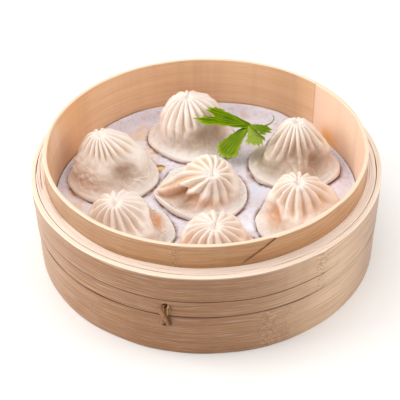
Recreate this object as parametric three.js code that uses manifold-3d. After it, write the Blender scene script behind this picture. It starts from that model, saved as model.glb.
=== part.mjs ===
// An open bamboo steamer tier holding seven pleated soup dumplings on perforated paper,
// with a sprig of celery leaf laid over the two back ones. Millimetres, +Z up, origin at
// the middle of the steamer's foot. The front of the basket faces -Y.
import * as THREE from 'three';
import { mergeVertices } from 'three/addons/utils/BufferGeometryUtils.js';
import Module from 'manifold-3d';

const wasm = await Module();
wasm.setup();

// ---- driving dimensions -------------------------------------------------------------
const gap = 0.3; // clearance between pieces that touch
const hoopSides = 56; // facets round a hoop that shows
const fillerSides = 36; // facets round a hoop between two others, and round the liner

const basketRadius = 105; // outside of both outer hoops
const hoopWall = 3; // bamboo strip of the outer hoops
const basketHeight = 71.3; // foot to rim
const ledgeHeight = 57.1; // top of the upper outer hoop
const seamHeight = 28.7; // where the upper outer hoop stands on the lower one
const grooveHeight = 39.8; // fine line round the upper outer hoop
const grooveDepth = 0.5;
const stackDepth = 15; // recess under the tier that takes the rim of the one below

const collarOuter = 96.5; // the collar is the inner band that rises to the rim
const collarWall = 3;
const rimWear = 0.6; // how far the rims' corners are rubbed round
const scarf = { azimuth: -76.5, height: 61.4, lean: 51, size: [0.9, 0.5, 46] }; // outer end
const lap = { azimuth: 39.2, height: 53, lean: 0, size: [0.8, 0.5, 44] }; // inner end

const fillerStrip = 2; // each thin strip wound between collar and outer hoop
const fillerSink = [0.6, 1.4]; // how far below the ledge the two strips end

const slatCount = 13; // floor
const slatWidth = 11;
const slatPitch = 14;
const slatThick = 3;
const slatTop = 30.5;
const barOffsets = [-52, 0, 52]; // cross bars under the slats
const barWidth = 14;
const barHeight = 6.5;
const barReach = 100.5; // the bars' ends stand in windows through collar and lining

const paperThick = 0.5; // liner
const paperTop = slatTop + gap + paperThick;
const paperEdge = 93.0; // radius of the turned-up edge
const paperLift = 6.2; // how far the edge climbs the back of the collar
const paperFrontLift = 0.3; // share of that climb round the rest of the edge
const paperBack = [38, 58, 132, 150]; // azimuths where the tall edge starts and is full, and ends
const paperTurn = [86, 91]; // radius where the paper turns up, at the back and elsewhere
const paperWaves = 7; // ripples round the edge
const paperRipple = 0.5; // height of a ripple
const holePitch = 16.6; // perforations, on a triangular grid
const holeTurn = -10.3; // azimuth of one line of the grid
const holeStart = [-7.4, 7.6]; // one perforation near the middle
const holeRadius = 1.5;
const holeSides = 5;
const holeReach = 70; // the paper is whole beyond this radius
const doughFoot = paperTop + gap; // height that the dumplings rest at

const tieAzimuth = -103.2; // rattan tie over the seam, at the front, left of the middle
const tieStrand = 1; // radius of the strand
const upperSlot = { along: 0, height: 35.8, width: 6.4 }; // cut through the upper outer hoop
const lowerSlot = { along: 1, height: 20.4, width: 6.8 }; // cut through the lower outer hoop
const slotHeight = 4;

const degrees = Math.PI / 180;

// ---- materials ----------------------------------------------------------------------
function material(color, roughness) {
  return new THREE.MeshStandardMaterial({ color, roughness, metalness: 0 });
}
const bambooMaterial = material(0xd9a877, 0.55);
const innerBambooMaterial = material(0xd29a68, 0.6);
const rattanMaterial = material(0xb98b5e, 0.6);
const paperMaterial = material(0xdccfcd, 0.8);
const doughMaterial = material(0xecdcc6, 0.4);
const herbMaterial = material(0x6fa012, 0.45);

const part = new THREE.Group();
function add(name, geometry, finish) {
  const mesh = new THREE.Mesh(geometry, finish);
  mesh.name = name;
  part.add(mesh);
}

// ---- joining and cutting ------------------------------------------------------------
// A geometry with its shared corners merged, so that neighbouring faces meet.
function merged(geometry) {
  geometry.deleteAttribute('normal');
  geometry.deleteAttribute('uv');
  return mergeVertices(geometry, 1e-4);
}

function toSolid(geometry) {
  const shell = merged(geometry);
  const vertProperties = new Float32Array(shell.attributes.position.array);
  const triVerts = new Uint32Array(shell.index.array);
  return new wasm.Manifold(new wasm.Mesh({ numProp: 3, vertProperties, triVerts }));
}

function toGeometry(solid) {
  const mesh = solid.getMesh();
  const geometry = new THREE.BufferGeometry();
  geometry.setAttribute('position', new THREE.BufferAttribute(mesh.vertProperties, 3));
  geometry.setIndex(new THREE.BufferAttribute(mesh.triVerts, 1));
  return geometry;
}

// A box set out at a radius and a height, leaning along the wall, and turned to an azimuth.
function boxAt(radius, { azimuth, height, lean, size }) {
  const box = new THREE.BoxGeometry(...size);
  box.rotateX(lean * degrees);
  box.translate(radius, 0, height);
  box.rotateZ(azimuth * degrees);
  return toSolid(box);
}

// ---- hoops --------------------------------------------------------------------------
// A band of bamboo bent into a ring: its section, [radius, height] corners, turned about Z.
function hoop(section, sides = hoopSides) {
  const corners = [...section, section[0]].map((corner) => new THREE.Vector2(...corner));
  const ring = new THREE.LatheGeometry(corners, sides);
  ring.rotateX(Math.PI / 2);
  return ring;
}

// Section of a plain band with its two top corners rubbed round by the given amount.
function bandSection(inner, outer, bottom, top, rub) {
  return [
    [inner, bottom],
    [outer, bottom],
    [outer, top - rub],
    [outer - rub, top],
    [inner + rub, top],
    [inner, top - rub],
  ];
}

// Windows through a hoop for the ends of the cross bars.
function barWindows() {
  const length = 2 * (barReach + gap);
  const windows = barOffsets.map((offset) => {
    const window = new THREE.BoxGeometry(length, barWidth + 2 * gap, barHeight + 2 * gap);
    window.translate(0, offset, slatTop - slatThick - gap - barHeight / 2);
    return toSolid(window);
  });
  return windows.reduce((all, one) => all.add(one));
}

// The collar is one long strip lapped on itself: its outer end runs down in a slanted scarf
// at the front, and its inner end is an upright line on the inside at the back.
function collar() {
  const inner = collarOuter - collarWall;
  const section = bandSection(inner, collarOuter, stackDepth, basketHeight, rimWear);
  const grooved = toSolid(hoop(section))
    .subtract(boxAt(collarOuter, scarf))
    .subtract(boxAt(inner, lap));
  return toGeometry(grooved.subtract(barWindows()));
}

// Slots through an outer hoop that the rattan tie is threaded through.
function tieSlot({ along, height, width }) {
  const azimuth = tieAzimuth + along / basketRadius / degrees;
  const size = [2 * hoopWall, width, slotHeight];
  return boxAt(basketRadius - hoopWall / 2, { azimuth, height, lean: 0, size });
}

function upperOuterHoop() {
  const inner = basketRadius - hoopWall;
  const section = [
    [inner, seamHeight + gap / 2],
    [basketRadius, seamHeight + gap / 2],
    [basketRadius, grooveHeight - grooveDepth],
    [basketRadius - grooveDepth, grooveHeight],
    [basketRadius, grooveHeight + grooveDepth],
    [basketRadius, ledgeHeight - rimWear],
    [basketRadius - rimWear, ledgeHeight],
    [inner, ledgeHeight],
  ];
  return toGeometry(toSolid(hoop(section)).subtract(tieSlot(upperSlot)));
}

function lowerOuterHoop() {
  const inner = basketRadius - hoopWall;
  const top = seamHeight - gap / 2;
  const section = [
    [inner, 0],
    [basketRadius, 0],
    [basketRadius, top - rimWear],
    [basketRadius - rimWear, top],
    [inner, top],
  ];
  return toGeometry(toSolid(hoop(section)).subtract(tieSlot(lowerSlot)));
}

const fillerInner = (collarOuter + gap) / Math.cos(Math.PI / fillerSides);
const fillerOuter = basketRadius - hoopWall - 2 * gap;

add('collar_hoop', collar(), bambooMaterial);
add('upper_outer_hoop', upperOuterHoop(), bambooMaterial);
add('lower_outer_hoop', lowerOuterHoop(), bambooMaterial);

// Two thin strips fill the ledge between the collar and the upper outer hoop.
const fillerBottom = seamHeight + gap;
const strips = [
  ['upper_filler_inner', fillerInner, ledgeHeight - fillerSink[0]],
  ['upper_filler_outer', fillerOuter - fillerStrip, ledgeHeight - fillerSink[1]],
];
for (const [name, inner, top] of strips) {
  const outer = inner + fillerStrip;
  const section = [[inner, fillerBottom], [outer, fillerBottom], [outer, top], [inner, top]];
  add(name, hoop(section, fillerSides), innerBambooMaterial);
}

// One thicker band lines the lower hoop and carries the ends of the cross bars.
function lowerLining() {
  const top = seamHeight - gap / 2;
  const section = [[fillerInner, 0], [fillerOuter, 0], [fillerOuter, top], [fillerInner, top]];
  return toGeometry(toSolid(hoop(section, fillerSides)).subtract(barWindows()));
}
add('lower_lining_hoop', lowerLining(), innerBambooMaterial);

// ---- floor --------------------------------------------------------------------------
// A strip along Y or X whose ends are cut to stay inside the collar.
function floorStrip(centre, width, reach, thick, top) {
  const near = centre - width / 2;
  const far = centre + width / 2;
  const nearEnd = Math.sqrt(reach * reach - near * near);
  const farEnd = Math.sqrt(reach * reach - far * far);
  const outline = new THREE.Shape();
  outline.moveTo(near, -nearEnd);
  outline.lineTo(far, -farEnd);
  outline.lineTo(far, farEnd);
  outline.lineTo(near, nearEnd);
  const strip = new THREE.ExtrudeGeometry(outline, { depth: thick, bevelEnabled: false });
  strip.translate(0, 0, top - thick);
  return strip;
}

const slatReach = (collarOuter - collarWall) * Math.cos(Math.PI / hoopSides) - gap;
for (let slat = 0; slat < slatCount; slat++) {
  const centre = (slat - (slatCount - 1) / 2) * slatPitch;
  const name = `floor_slat_${String(slat + 1).padStart(2, '0')}`;
  add(name, floorStrip(centre, slatWidth, slatReach, slatThick, slatTop), innerBambooMaterial);
}
barOffsets.forEach((offset, index) => {
  const bar = floorStrip(offset, barWidth, barReach, barHeight, slatTop - slatThick - gap);
  bar.rotateZ(Math.PI / 2);
  add(`cross_bar_${index + 1}`, bar, innerBambooMaterial);
});

// ---- rattan tie ---------------------------------------------------------------------
// One strand: in at the lower left, up the face, through the slot, and down again to the right.
function rattanTie() {
  // [along the hoop, height, out from the hoop's face]
  const route = [
    [-0.9, 20.4, -2.4],
    [-0.9, 21.0, 0.6],
    [-1.4, 26.0, 1.5],
    [-1.9, 32.0, 1.5],
    [-1.7, 35.6, 0.2],
    [-1.2, 36.2, -1.8],
    [1.2, 36.2, -1.8],
    [1.9, 35.6, 0.2],
    [1.5, 31.0, 1.5],
    [1.3, 26.0, 1.5],
    [2.7, 21.2, 0.8],
    [2.9, 20.5, -2.4],
  ];
  const points = route.map(([along, height, out]) => {
    const azimuth = tieAzimuth * degrees + along / basketRadius;
    const radius = basketRadius + out;
    return new THREE.Vector3(radius * Math.cos(azimuth), radius * Math.sin(azimuth), height);
  });
  const section = new THREE.Shape();
  section.absarc(0, 0, tieStrand, 0, 2 * Math.PI);
  const extrudePath = new THREE.CatmullRomCurve3(points);
  const options = { extrudePath, steps: 24, curveSegments: 3, bevelEnabled: false };
  return new THREE.ExtrudeGeometry(section, options);
}
add('rattan_tie', rattanTie(), rattanMaterial);

// ---- thin sheets --------------------------------------------------------------------
// A solid of even thickness under a surface: the same triangles above and below, with a
// wall along every edge that belongs to one triangle only.
function sheetSolid(surface, thickness) {
  const top = merged(surface);
  const place = top.attributes.position;
  const count = place.count;
  const faces = [];
  for (let i = 0; i < top.index.count; i += 3) {
    const [a, b, c] = [0, 1, 2].map((k) => top.index.getX(i + k));
    if (a !== b && b !== c && c !== a) faces.push([a, b, c]);
  }
  const used = new Set(faces.flatMap(([a, b, c]) => [`${a} ${b}`, `${b} ${c}`, `${c} ${a}`]));
  const index = [];
  for (const [a, b, c] of faces) {
    index.push(a, b, c, a + count, c + count, b + count);
    for (const [p, q] of [[a, b], [b, c], [c, a]]) {
      if (!used.has(`${q} ${p}`)) index.push(q, p, p + count, q, p + count, q + count);
    }
  }
  const positions = new Float32Array(6 * count);
  positions.set(place.array);
  positions.set(place.array, 3 * count);
  for (let i = count; i < 2 * count; i++) positions[3 * i + 2] -= thickness;
  const solid = new THREE.BufferGeometry();
  solid.setAttribute('position', new THREE.BufferAttribute(positions, 3));
  solid.setIndex(index);
  return solid;
}

// ---- paper liner --------------------------------------------------------------------
// Smooth step from 0 at a to 1 at b.
const ease = (a, b, x) => THREE.MathUtils.smoothstep(x, a, b);

// Punches for the round holes of the liner, on a triangular grid.
function perforations() {
  const lines = Math.ceil((2 * holeReach) / holePitch);
  const punches = [];
  for (let line = -lines; line <= lines; line++) {
    for (let step = -lines; step <= lines; step++) {
      const hole = new THREE.Vector2(step + line / 2, line * Math.sin(Math.PI / 3))
        .multiplyScalar(holePitch)
        .rotateAround(new THREE.Vector2(), holeTurn * degrees)
        .add(new THREE.Vector2(...holeStart));
      if (hole.length() > holeReach) continue;
      const punch = new THREE.CylinderGeometry(holeRadius, holeRadius, 4 * paperThick, holeSides);
      punch.rotateX(Math.PI / 2);
      punch.translate(hole.x, hole.y, paperTop - paperThick / 2);
      punches.push(toSolid(punch));
    }
  }
  return punches.reduce((all, one) => all.add(one));
}

// Flat on the slats, turned up where it meets the collar: widest and highest at the back.
function paperLiner() {
  const rings = [paperEdge, paperTurn[1], paperTurn[0], 0];
  const fan = new THREE.LatheGeometry(
    rings.map((radius) => new THREE.Vector2(radius, 0)),
    fillerSides,
  );
  fan.rotateX(Math.PI / 2);
  const place = fan.attributes.position;
  for (let i = 0; i < place.count; i++) {
    const [x, y] = [place.getX(i), place.getY(i)];
    const radius = Math.hypot(x, y);
    const azimuth = Math.atan2(y, x) / degrees;
    const [from, full, fades, to] = paperBack;
    const back = ease(from, full, azimuth) * (1 - ease(fades, to, azimuth));
    const start = THREE.MathUtils.lerp(paperTurn[1], paperTurn[0] - 1, back);
    const climb = paperLift * THREE.MathUtils.lerp(paperFrontLift, 1, back);
    const ripple = paperRipple * Math.sin(paperWaves * azimuth * degrees);
    place.setZ(i, paperTop + (climb + ripple) * ease(start, paperEdge, radius));
  }
  const sheet = toSolid(sheetSolid(fan, paperThick));
  return toGeometry(sheet.subtract(perforations()));
}
add('paper_liner', paperLiner(), paperMaterial);

// ---- dumplings ----------------------------------------------------------------------
// Each dumpling is a pleated dome drawn in to a dimpled crown, on a broad soft skirt with a
// rolled lip. Angles are azimuths in degrees. foot: middle of the skirt; body: middle of the
// dome; crown: where the pleats meet. lobes: [azimuth, width, extra skirt]; hollows:
// [azimuth, width, depth] dents in the foot of the dome; folds: [azimuth, width, height]
// single strong ridges that reach the lip.
const dumplings = [
  {
    foot: [-7, 57], body: [-9.5, 60], crown: [-10.9, 60.5], top: 64.5, dome: 21.5, skirt: 26.5,
    pleats: 16, twist: 12, lobes: [[-35, 34, 5], [-95, 30, 2.5], [172, 42, 4.5]],
    hollows: [[-62, 30, 3], [-20, 26, 3]], folds: [[38, 34, 4.5]],
  },
  {
    foot: [57, 25], body: [58, 27], crown: [57.6, 28], top: 64, dome: 20, skirt: 27,
    pleats: 13, twist: 5, lobes: [[-25, 28, 3], [-140, 34, 2.5], [172, 30, 2]],
    hollows: [[-48, 24, 4.2], [-165, 28, 3]], folds: [[-86, 8, 3.2], [-118, 9, 1.5]],
  },
  {
    foot: [-59, 17], body: [-62, 20], crown: [-65.3, 21], top: 62.5, dome: 20.5, skirt: 28,
    pleats: 15, twist: 10, lobes: [[-10, 36, 2], [-110, 40, 0.5]],
    hollows: [[-38, 28, 3.2]], folds: [],
  },
  {
    foot: [-1, -4], body: [1, -3.5], crown: [3.8, -12.5], top: 57.5, dome: 19.5, skirt: 26,
    pleats: 14, twist: 34, lobes: [[175, 34, 3], [60, 40, 2.5], [-40, 30, 1]],
    hollows: [[-170, 22, 4.5], [-135, 22, 4]], folds: [],
  },
  {
    foot: [56, -31], body: [54, -25], crown: [53, -28.5], top: 60, dome: 20, skirt: 26.5,
    pleats: 18, twist: 8, lobes: [[-150, 34, 1.5], [10, 40, 2]],
    hollows: [[-148, 18, 4.5]], folds: [],
  },
  {
    foot: [-48, -41], body: [-50.5, -38], crown: [-52.1, -41.8], top: 59, dome: 20.5, skirt: 27,
    pleats: 17, twist: 14, lobes: [[-20, 36, 2.5], [40, 34, 2]],
    hollows: [[5, 20, 4.2]], folds: [],
  },
  {
    foot: [5, -62], body: [4, -57.5], crown: [4, -62], top: 57.5, dome: 20, skirt: 26,
    pleats: 15, twist: 20, lobes: [[0, 40, 1.5], [170, 40, 1.5]],
    hollows: [[-15, 22, 3]], folds: [],
  },
];
const skirtLimit = 91; // skirts stay inside this radius of the basket
const skirtApart = 0.8; // room left between two skirts
const facetsPerPleat = 4;

// Rows from the crown down to the foot: share of the dome's radius, share of the skirt
// beyond the dome, share of the height, share of the pleats' depth, and share of the way
// that the row's middle has moved from the crown to the body and on to the foot.
const doughRows = [
  { dome: 0.36, skirt: 0, height: 0.94, pleat: 0.75, toBody: 0.35, toFoot: 0 },
  { dome: 0.65, skirt: 0, height: 0.8, pleat: 1, toBody: 0.8, toFoot: 0 },
  { dome: 0.85, skirt: 0, height: 0.59, pleat: 1, toBody: 1, toFoot: 0 },
  { dome: 0.98, skirt: 0.05, height: 0.36, pleat: 0.75, toBody: 1, toFoot: 0.3 },
  { dome: 1, skirt: 0.36, height: 0.2, pleat: 0.3, toBody: 1, toFoot: 0.7 },
  { dome: 1, skirt: 0.74, height: 0.17, pleat: 0, toBody: 1, toFoot: 1 },
  { dome: 1, skirt: 1, height: 0.1, pleat: 0, toBody: 1, toFoot: 1 },
  { dome: 1, skirt: 0.84, height: 0, pleat: 0, toBody: 1, toFoot: 1 },
];
const crownDip = 2.4; // how far the middle of the crown lies below the top
const pleatDepth = 1.5; // valley to ridge is twice this

const turn = (angle) => THREE.MathUtils.euclideanModulo(angle + 180, 360) - 180;
const bump = (angle, [azimuth, width]) => Math.exp(-((turn(angle - azimuth) / width) ** 2));
const summed = (angle, terms) => terms.reduce((sum, term) => sum + term[2] * bump(angle, term), 0);
const between = (a, b, share) => a.map((value, k) => THREE.MathUtils.lerp(value, b[k], share));

// How far the skirt may spread that way: to the wall, or halfway to a neighbour.
function skirtRoom(own, angle) {
  const foot = new THREE.Vector2(...own.foot);
  const ray = new THREE.Vector2(Math.cos(angle * degrees), Math.sin(angle * degrees));
  const along = foot.dot(ray);
  let room = Math.sqrt(along * along - foot.lengthSq() + skirtLimit * skirtLimit) - along;
  for (const other of dumplings) {
    if (other === own) continue;
    const away = new THREE.Vector2(...other.foot).sub(foot);
    const distance = away.length();
    const share = 0.5 + (own.skirt - other.skirt) / (2 * distance);
    const toward = away.dot(ray) / distance;
    if (toward > 0.1) room = Math.min(room, (distance * share - skirtApart / 2) / toward);
  }
  return room;
}

// Height of a pleat across its width: a round ridge that leans over a narrow valley.
function pleatShape(own, angle, rise) {
  const turned = angle + own.twist * rise;
  const across = THREE.MathUtils.euclideanModulo((turned * own.pleats) / 360, 1);
  return 2 * Math.sin(Math.PI * across ** 1.2) ** 0.8 - 1;
}

// A point of the dough's surface in one of the rows, in a direction from the row's middle.
function doughPoint(own, row, angle) {
  const tall = own.top - doughFoot;
  const waist = Math.sin(Math.PI * THREE.MathUtils.clamp((row.height - 0.05) / 0.8, 0, 1));
  const hollow = summed(angle, own.hollows);
  const domeRadius = own.dome + (summed(angle, own.folds) - hollow) * waist;
  const skirtRadius = Math.min(own.skirt + summed(angle, own.lobes), skirtRoom(own, angle));
  const pleat = pleatDepth * row.pleat * pleatShape(own, angle, row.height);
  const radius = row.dome * domeRadius + row.skirt * (skirtRadius - own.dome) + 0.8 * pleat;
  const middle = between(between(own.crown, own.body, row.toBody), own.foot, row.toFoot);
  const lift = row.height > 0.5 ? 0.5 * pleat : 0;
  const sink = 0.5 * hollow * Math.sin(Math.PI * row.skirt);
  return new THREE.Vector3(
    middle[0] + radius * Math.cos(angle * degrees),
    middle[1] + radius * Math.sin(angle * degrees),
    doughFoot + Math.max(0, tall * row.height + lift - sink),
  );
}

// A ball whose rows of corners are moved to the dough's rows, and its poles to the crown
// and the middle of the foot.
function dumpling(own) {
  const bands = doughRows.length + 1;
  const ball = merged(new THREE.SphereGeometry(1, own.pleats * facetsPerPleat, bands));
  const corners = ball.attributes.position;
  const corner = new THREE.Vector3();
  for (let i = 0; i < corners.count; i++) {
    corner.fromBufferAttribute(corners, i);
    const polar = Math.acos(THREE.MathUtils.clamp(corner.y, -1, 1));
    const row = Math.round((polar / Math.PI) * bands) - 1;
    const angle = Math.atan2(-corner.z, corner.x) / degrees;
    if (row < 0) corner.set(...own.crown, own.top - crownDip);
    else if (row === doughRows.length) corner.set(...own.foot, doughFoot);
    else corner.copy(doughPoint(own, doughRows[row], angle));
    corners.setXYZ(i, ...corner);
  }
  return ball;
}
dumplings.forEach((own, index) => add(`dumpling_${index + 1}`, dumpling(own), doughMaterial));

// ---- herb sprig ---------------------------------------------------------------------
// Celery leaflets that spread from one joint to toothed ends. tip: where the midrib ends;
// half: half width at the wide end; taper: how much shorter the outer lobes are; roll: how
// far one side hangs lower than the other; arch: how far the midrib bows up; rows, columns:
// facets along and across.
const leafJoint = [29, 39.5, 53];
const leaflets = [
  { tip: [-5, 48, 59.6], half: 7.6, taper: 0.14, roll: -0.36, arch: 0.4, rows: 6, columns: 6 },
  { tip: [10.4, 27, 37.9], half: 8.4, taper: 0.1, roll: -0.05, arch: 1.5, rows: 6, columns: 6 },
  { tip: [34, 22.5, 47.6], half: 6.4, taper: 0.2, roll: 0, arch: 0.6, rows: 4, columns: 4 },
  { tip: [43.3, 30.8, 53.9], half: 4.6, taper: 0.2, roll: 0.15, arch: 0.8, rows: 4, columns: 4 },
];
const leafThick = 0.45;
const leafNeck = 0.9; // half width where a leaflet leaves the joint
const leafTooth = 0.08; // depth of a tooth as a share of the leaflet's length
const leafNotch = 0.84; // width left at a notch in the side
const leafStart = 0.03; // share of the length by which a leaflet reaches back over the joint
const leafDroop = 0.6; // how far the sides hang below the midrib at the wide end
const tendrilRadius = 0.55;

function leaflet(own) {
  const base = new THREE.Vector3(...leafJoint);
  const along = new THREE.Vector3(...own.tip).sub(base);
  const across = new THREE.Vector3(-along.y, along.x, 0).normalize();
  const blade = new THREE.PlaneGeometry(1, 2, own.rows, own.columns);
  const corners = blade.attributes.position;
  for (let i = 0; i < corners.count; i++) {
    const [out, side] = [corners.getX(i) + 0.5, corners.getY(i)];
    const column = Math.round(((side + 1) / 2) * own.columns);
    const row = Math.round(out * own.rows);
    const tooth = column % 2 === 1 ? leafTooth : 0;
    const reach = out * (1 - own.taper * side * side - tooth) - leafStart;
    const notch = Math.abs(side) === 1 && row % 2 === 0 && row > 0 ? leafNotch : 1;
    const width = side * notch * (leafNeck + (own.half - leafNeck) * out ** 0.85);
    const droop = leafDroop * Math.abs(side) * out;
    const bow = own.arch * Math.sin(Math.PI * out) - droop + own.roll * width;
    const corner = base.clone().addScaledVector(along, reach).addScaledVector(across, width);
    corners.setXYZ(i, corner.x, corner.y, corner.z + bow);
  }
  return sheetSolid(blade, leafThick);
}

// A thin shoot that curls up from the right-hand leaflet.
function tendril() {
  const extrudePath = new THREE.CatmullRomCurve3([
    new THREE.Vector3(34.5, 37.5, 53.4),
    new THREE.Vector3(40.5, 38.2, 54.4),
    new THREE.Vector3(44.2, 40.2, 56.4),
    new THREE.Vector3(44.8, 42.6, 58.8),
  ]);
  const section = new THREE.Shape();
  section.absarc(0, 0, tendrilRadius, 0, 2 * Math.PI);
  const options = { extrudePath, steps: 6, curveSegments: 3, bevelEnabled: false };
  return new THREE.ExtrudeGeometry(section, options);
}

const sprig = [...leaflets.map(leaflet), tendril()]
  .map(toSolid)
  .reduce((all, one) => all.add(one));
add('herb_sprig', toGeometry(sprig), herbMaterial);

export default part;
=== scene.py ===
from math import cos, pi, radians, sin

import bpy
import numpy as np
from mathutils import Matrix


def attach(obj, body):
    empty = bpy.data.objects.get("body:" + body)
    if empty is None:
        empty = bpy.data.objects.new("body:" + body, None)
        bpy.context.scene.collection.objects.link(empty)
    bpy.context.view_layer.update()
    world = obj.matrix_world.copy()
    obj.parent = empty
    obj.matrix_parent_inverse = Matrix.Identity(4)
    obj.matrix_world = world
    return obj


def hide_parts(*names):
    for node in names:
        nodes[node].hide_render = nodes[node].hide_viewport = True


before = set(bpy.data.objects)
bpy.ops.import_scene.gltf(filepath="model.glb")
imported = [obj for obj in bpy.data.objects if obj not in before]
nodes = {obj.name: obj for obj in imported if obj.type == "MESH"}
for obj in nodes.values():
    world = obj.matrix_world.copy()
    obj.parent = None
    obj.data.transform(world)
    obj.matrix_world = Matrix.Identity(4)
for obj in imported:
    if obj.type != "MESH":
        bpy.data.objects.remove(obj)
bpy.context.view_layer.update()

mm = 0.001  # shapes are worked out in millimetres
print("frame loaded with", len(nodes), "nodes")


# 0 below low, 1 above high, and an S curve between
def ease(low, high, value):
    share = np.clip((value - low) / (high - low), 0, 1)
    return share * share * (3 - 2 * share)


# Degrees from one azimuth to another, from -180 to 180
def turned(angle, azimuth=0.0):
    return (angle - azimuth + 180) % 360 - 180


# A bell over a value: exp(-(value / width) squared)
def bell(value, wide):
    return np.exp(-((value / wide) ** 2))


# Sum of humps [azimuth, width, height]: height times a bell over the turn from the azimuth
def humps(angle, terms):
    return sum((high * bell(turned(angle, at), wide) for at, wide, high in terms), 0 * angle)


# Smooth unevenness from about -1 to 1: a mean of sine waves of about one length that run in
# seeded random directions
def ripple(points, length, seed, waves=12):
    pick = np.random.default_rng(seed)
    ways = pick.normal(size=(waves, 3))
    ways *= (2 * pi / length / np.linalg.norm(ways, axis=1) * pick.uniform(0.7, 1.4, waves))[:, None]
    return np.sin(points @ ways.T + pick.uniform(0, 2 * pi, waves)).sum(-1) / (0.9 * waves ** 0.5)


# A smooth curve through rows of values: cubic between rows, with each row's slope taken from
# the rows beside it; stations count rows from 0
def throughRows(rows, stations):
    slopes = np.gradient(rows, axis=0)
    row = np.clip(stations.astype(int), 0, len(rows) - 2)
    u = (stations - row)[:, None]
    start = rows[row] * (1 + 2 * u) * (1 - u) ** 2 + slopes[row] * u * (1 - u) ** 2
    return start + rows[row + 1] * u * u * (3 - 2 * u) - slopes[row + 1] * u * u * (1 - u)


# Faces of a grid of points: each joins a point, the next in its column and their neighbours
def loftFaces(rows, columns, rowsClose=False, columnsClose=True):
    rowCount, columnCount = rows if rowsClose else rows - 1, columns if columnsClose else columns - 1
    row, column = np.meshgrid(np.arange(rowCount), np.arange(columnCount), indexing="ij")
    below, beside = (row + 1) % rows * columns, (column + 1) % columns
    corners = [row * columns + column, below + column, below + beside, row * columns + beside]
    return np.stack(corners, -1).reshape(-1, 4)


# Faces of a tube: its rows go round the section and close on themselves, its columns run along
# it, and both ends are capped; over turns every face round
def tubeFaces(rows, columns, over=False):
    way = -1 if over else 1
    ring = np.arange(rows) * columns
    faces = loftFaces(rows, columns, True, False)[:, ::way].tolist()
    return faces + [ring[::-way].tolist(), (ring + columns - 1)[::way].tolist()]


# Unit ways beside a path and out of it: the path's slope crossed with the outward way, and
# that crossed with the slope
def pathFrame(path, outward):
    along = np.gradient(path, axis=0)
    along /= np.linalg.norm(along, axis=1)[:, None]
    side = np.cross(along, outward)
    side /= np.linalg.norm(side, axis=1)[:, None] + 1e-9
    return side, np.cross(side, along)


# A piece of the root body from points in mm, with named values on its points
def addPiece(name, points, faces, finish, replaced=(), values={}, crease=None):
    mesh = bpy.data.meshes.new(name)
    corners = faces if isinstance(faces, list) else faces.tolist()
    mesh.from_pydata((points.reshape(-1, 3) * mm).tolist(), [], corners)
    mesh.polygons.foreach_set("use_smooth", np.ones(len(mesh.polygons), bool))
    for label, value in values.items():
        layer = mesh.attributes.new(label, "FLOAT", "POINT")
        layer.data.foreach_set("value", np.broadcast_to(value, points.shape[:-1]).ravel().astype(np.float32))
    if crease:
        mesh.set_sharp_from_angle(angle=radians(crease))
    mesh.materials.append(finish)
    piece = bpy.data.objects.new(name, mesh)
    bpy.context.scene.collection.objects.link(piece)
    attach(piece, "root")
    if replaced:
        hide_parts(*replaced)
    return piece


# Gives a thin sheet its thickness, on the side that its faces point away from
def thicken(sheet, thick):
    wall = sheet.modifiers.new("thickness", "SOLIDIFY")
    wall.thickness, wall.offset = thick * mm, -1


# Stands a lamp or camera at a place in metres, with its own X, Y and Z along three ways
def standAt(thing, across, above, back, place):
    rows = [[across[k], above[k], back[k], place[k]] for k in range(3)]
    thing.matrix_world = Matrix(rows + [[0, 0, 0, 1]])
    bpy.context.scene.collection.objects.link(thing)


# A colour from 0 to 255 numbers as seen on a screen
def tint(red, green, blue):
    share = np.array([red, green, blue]) / 255
    return (*np.where(share <= 0.04045, share / 12.92, ((share + 0.055) / 1.055) ** 2.4), 1.0)


# Fills a node's sockets: another node's output is linked, a plain value is set on the socket
def fill(tree, node, sockets):
    for key, value in sockets.items():
        if isinstance(value, bpy.types.NodeSocket):
            tree.links.new(value, node.inputs[key])
        else:
            node.inputs[key].default_value = value


# A shader node of one kind
def shade(tree, kind, sockets={}, **settings):
    node = tree.nodes.new("ShaderNode" + kind)
    for key, value in settings.items():
        setattr(node, key, value)
    fill(tree, node, sockets)
    return node


# A new material, its node tree, its surface shader and the place of a point on the piece
def newFinish(name):
    finish = bpy.data.materials.new(name)
    finish.use_nodes = True
    tree = finish.node_tree
    return finish, tree, tree.nodes["Principled BSDF"], shade(tree, "TexCoord").outputs["Object"]


def blend(tree, share, first, second):
    return shade(tree, "Mix", {0: share, 6: first, 7: second}, data_type="RGBA").outputs[2]


def spread(tree, value, low, high, toLow=0.0, toHigh=1.0):
    sockets = {0: value, 1: low, 2: high, 3: toLow, 4: toHigh}
    return shade(tree, "MapRange", sockets, interpolation_type="SMOOTHSTEP").outputs[0]


def times(tree, first, second):
    return shade(tree, "Math", {0: first, 1: second}, operation="MULTIPLY").outputs[0]


def stretched(tree, place, *scales):
    return shade(tree, "Mapping", {0: place, 3: scales}).outputs[0]


def noise(tree, place, scale, detail=2.0, rough=0.5):
    sockets = {"Vector": place, "Scale": scale, "Detail": detail, "Roughness": rough}
    return shade(tree, "TexNoise", sockets).outputs["Fac"]


def pointValue(tree, label):
    return shade(tree, "Attribute", attribute_name=label).outputs["Fac"]


# A second colour laid over the first, by a named value of the points times a share
def laid(tree, colour, label, share, second):
    return blend(tree, times(tree, pointValue(tree, label), share), colour, second)


def relief(tree, *layers):
    normal = None
    for height, strength, depth in layers:
        sockets = {"Height": height, "Strength": strength, "Distance": depth}
        if normal:
            sockets["Normal"] = normal
        normal = shade(tree, "Bump", sockets).outputs["Normal"]
    return normal


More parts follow.
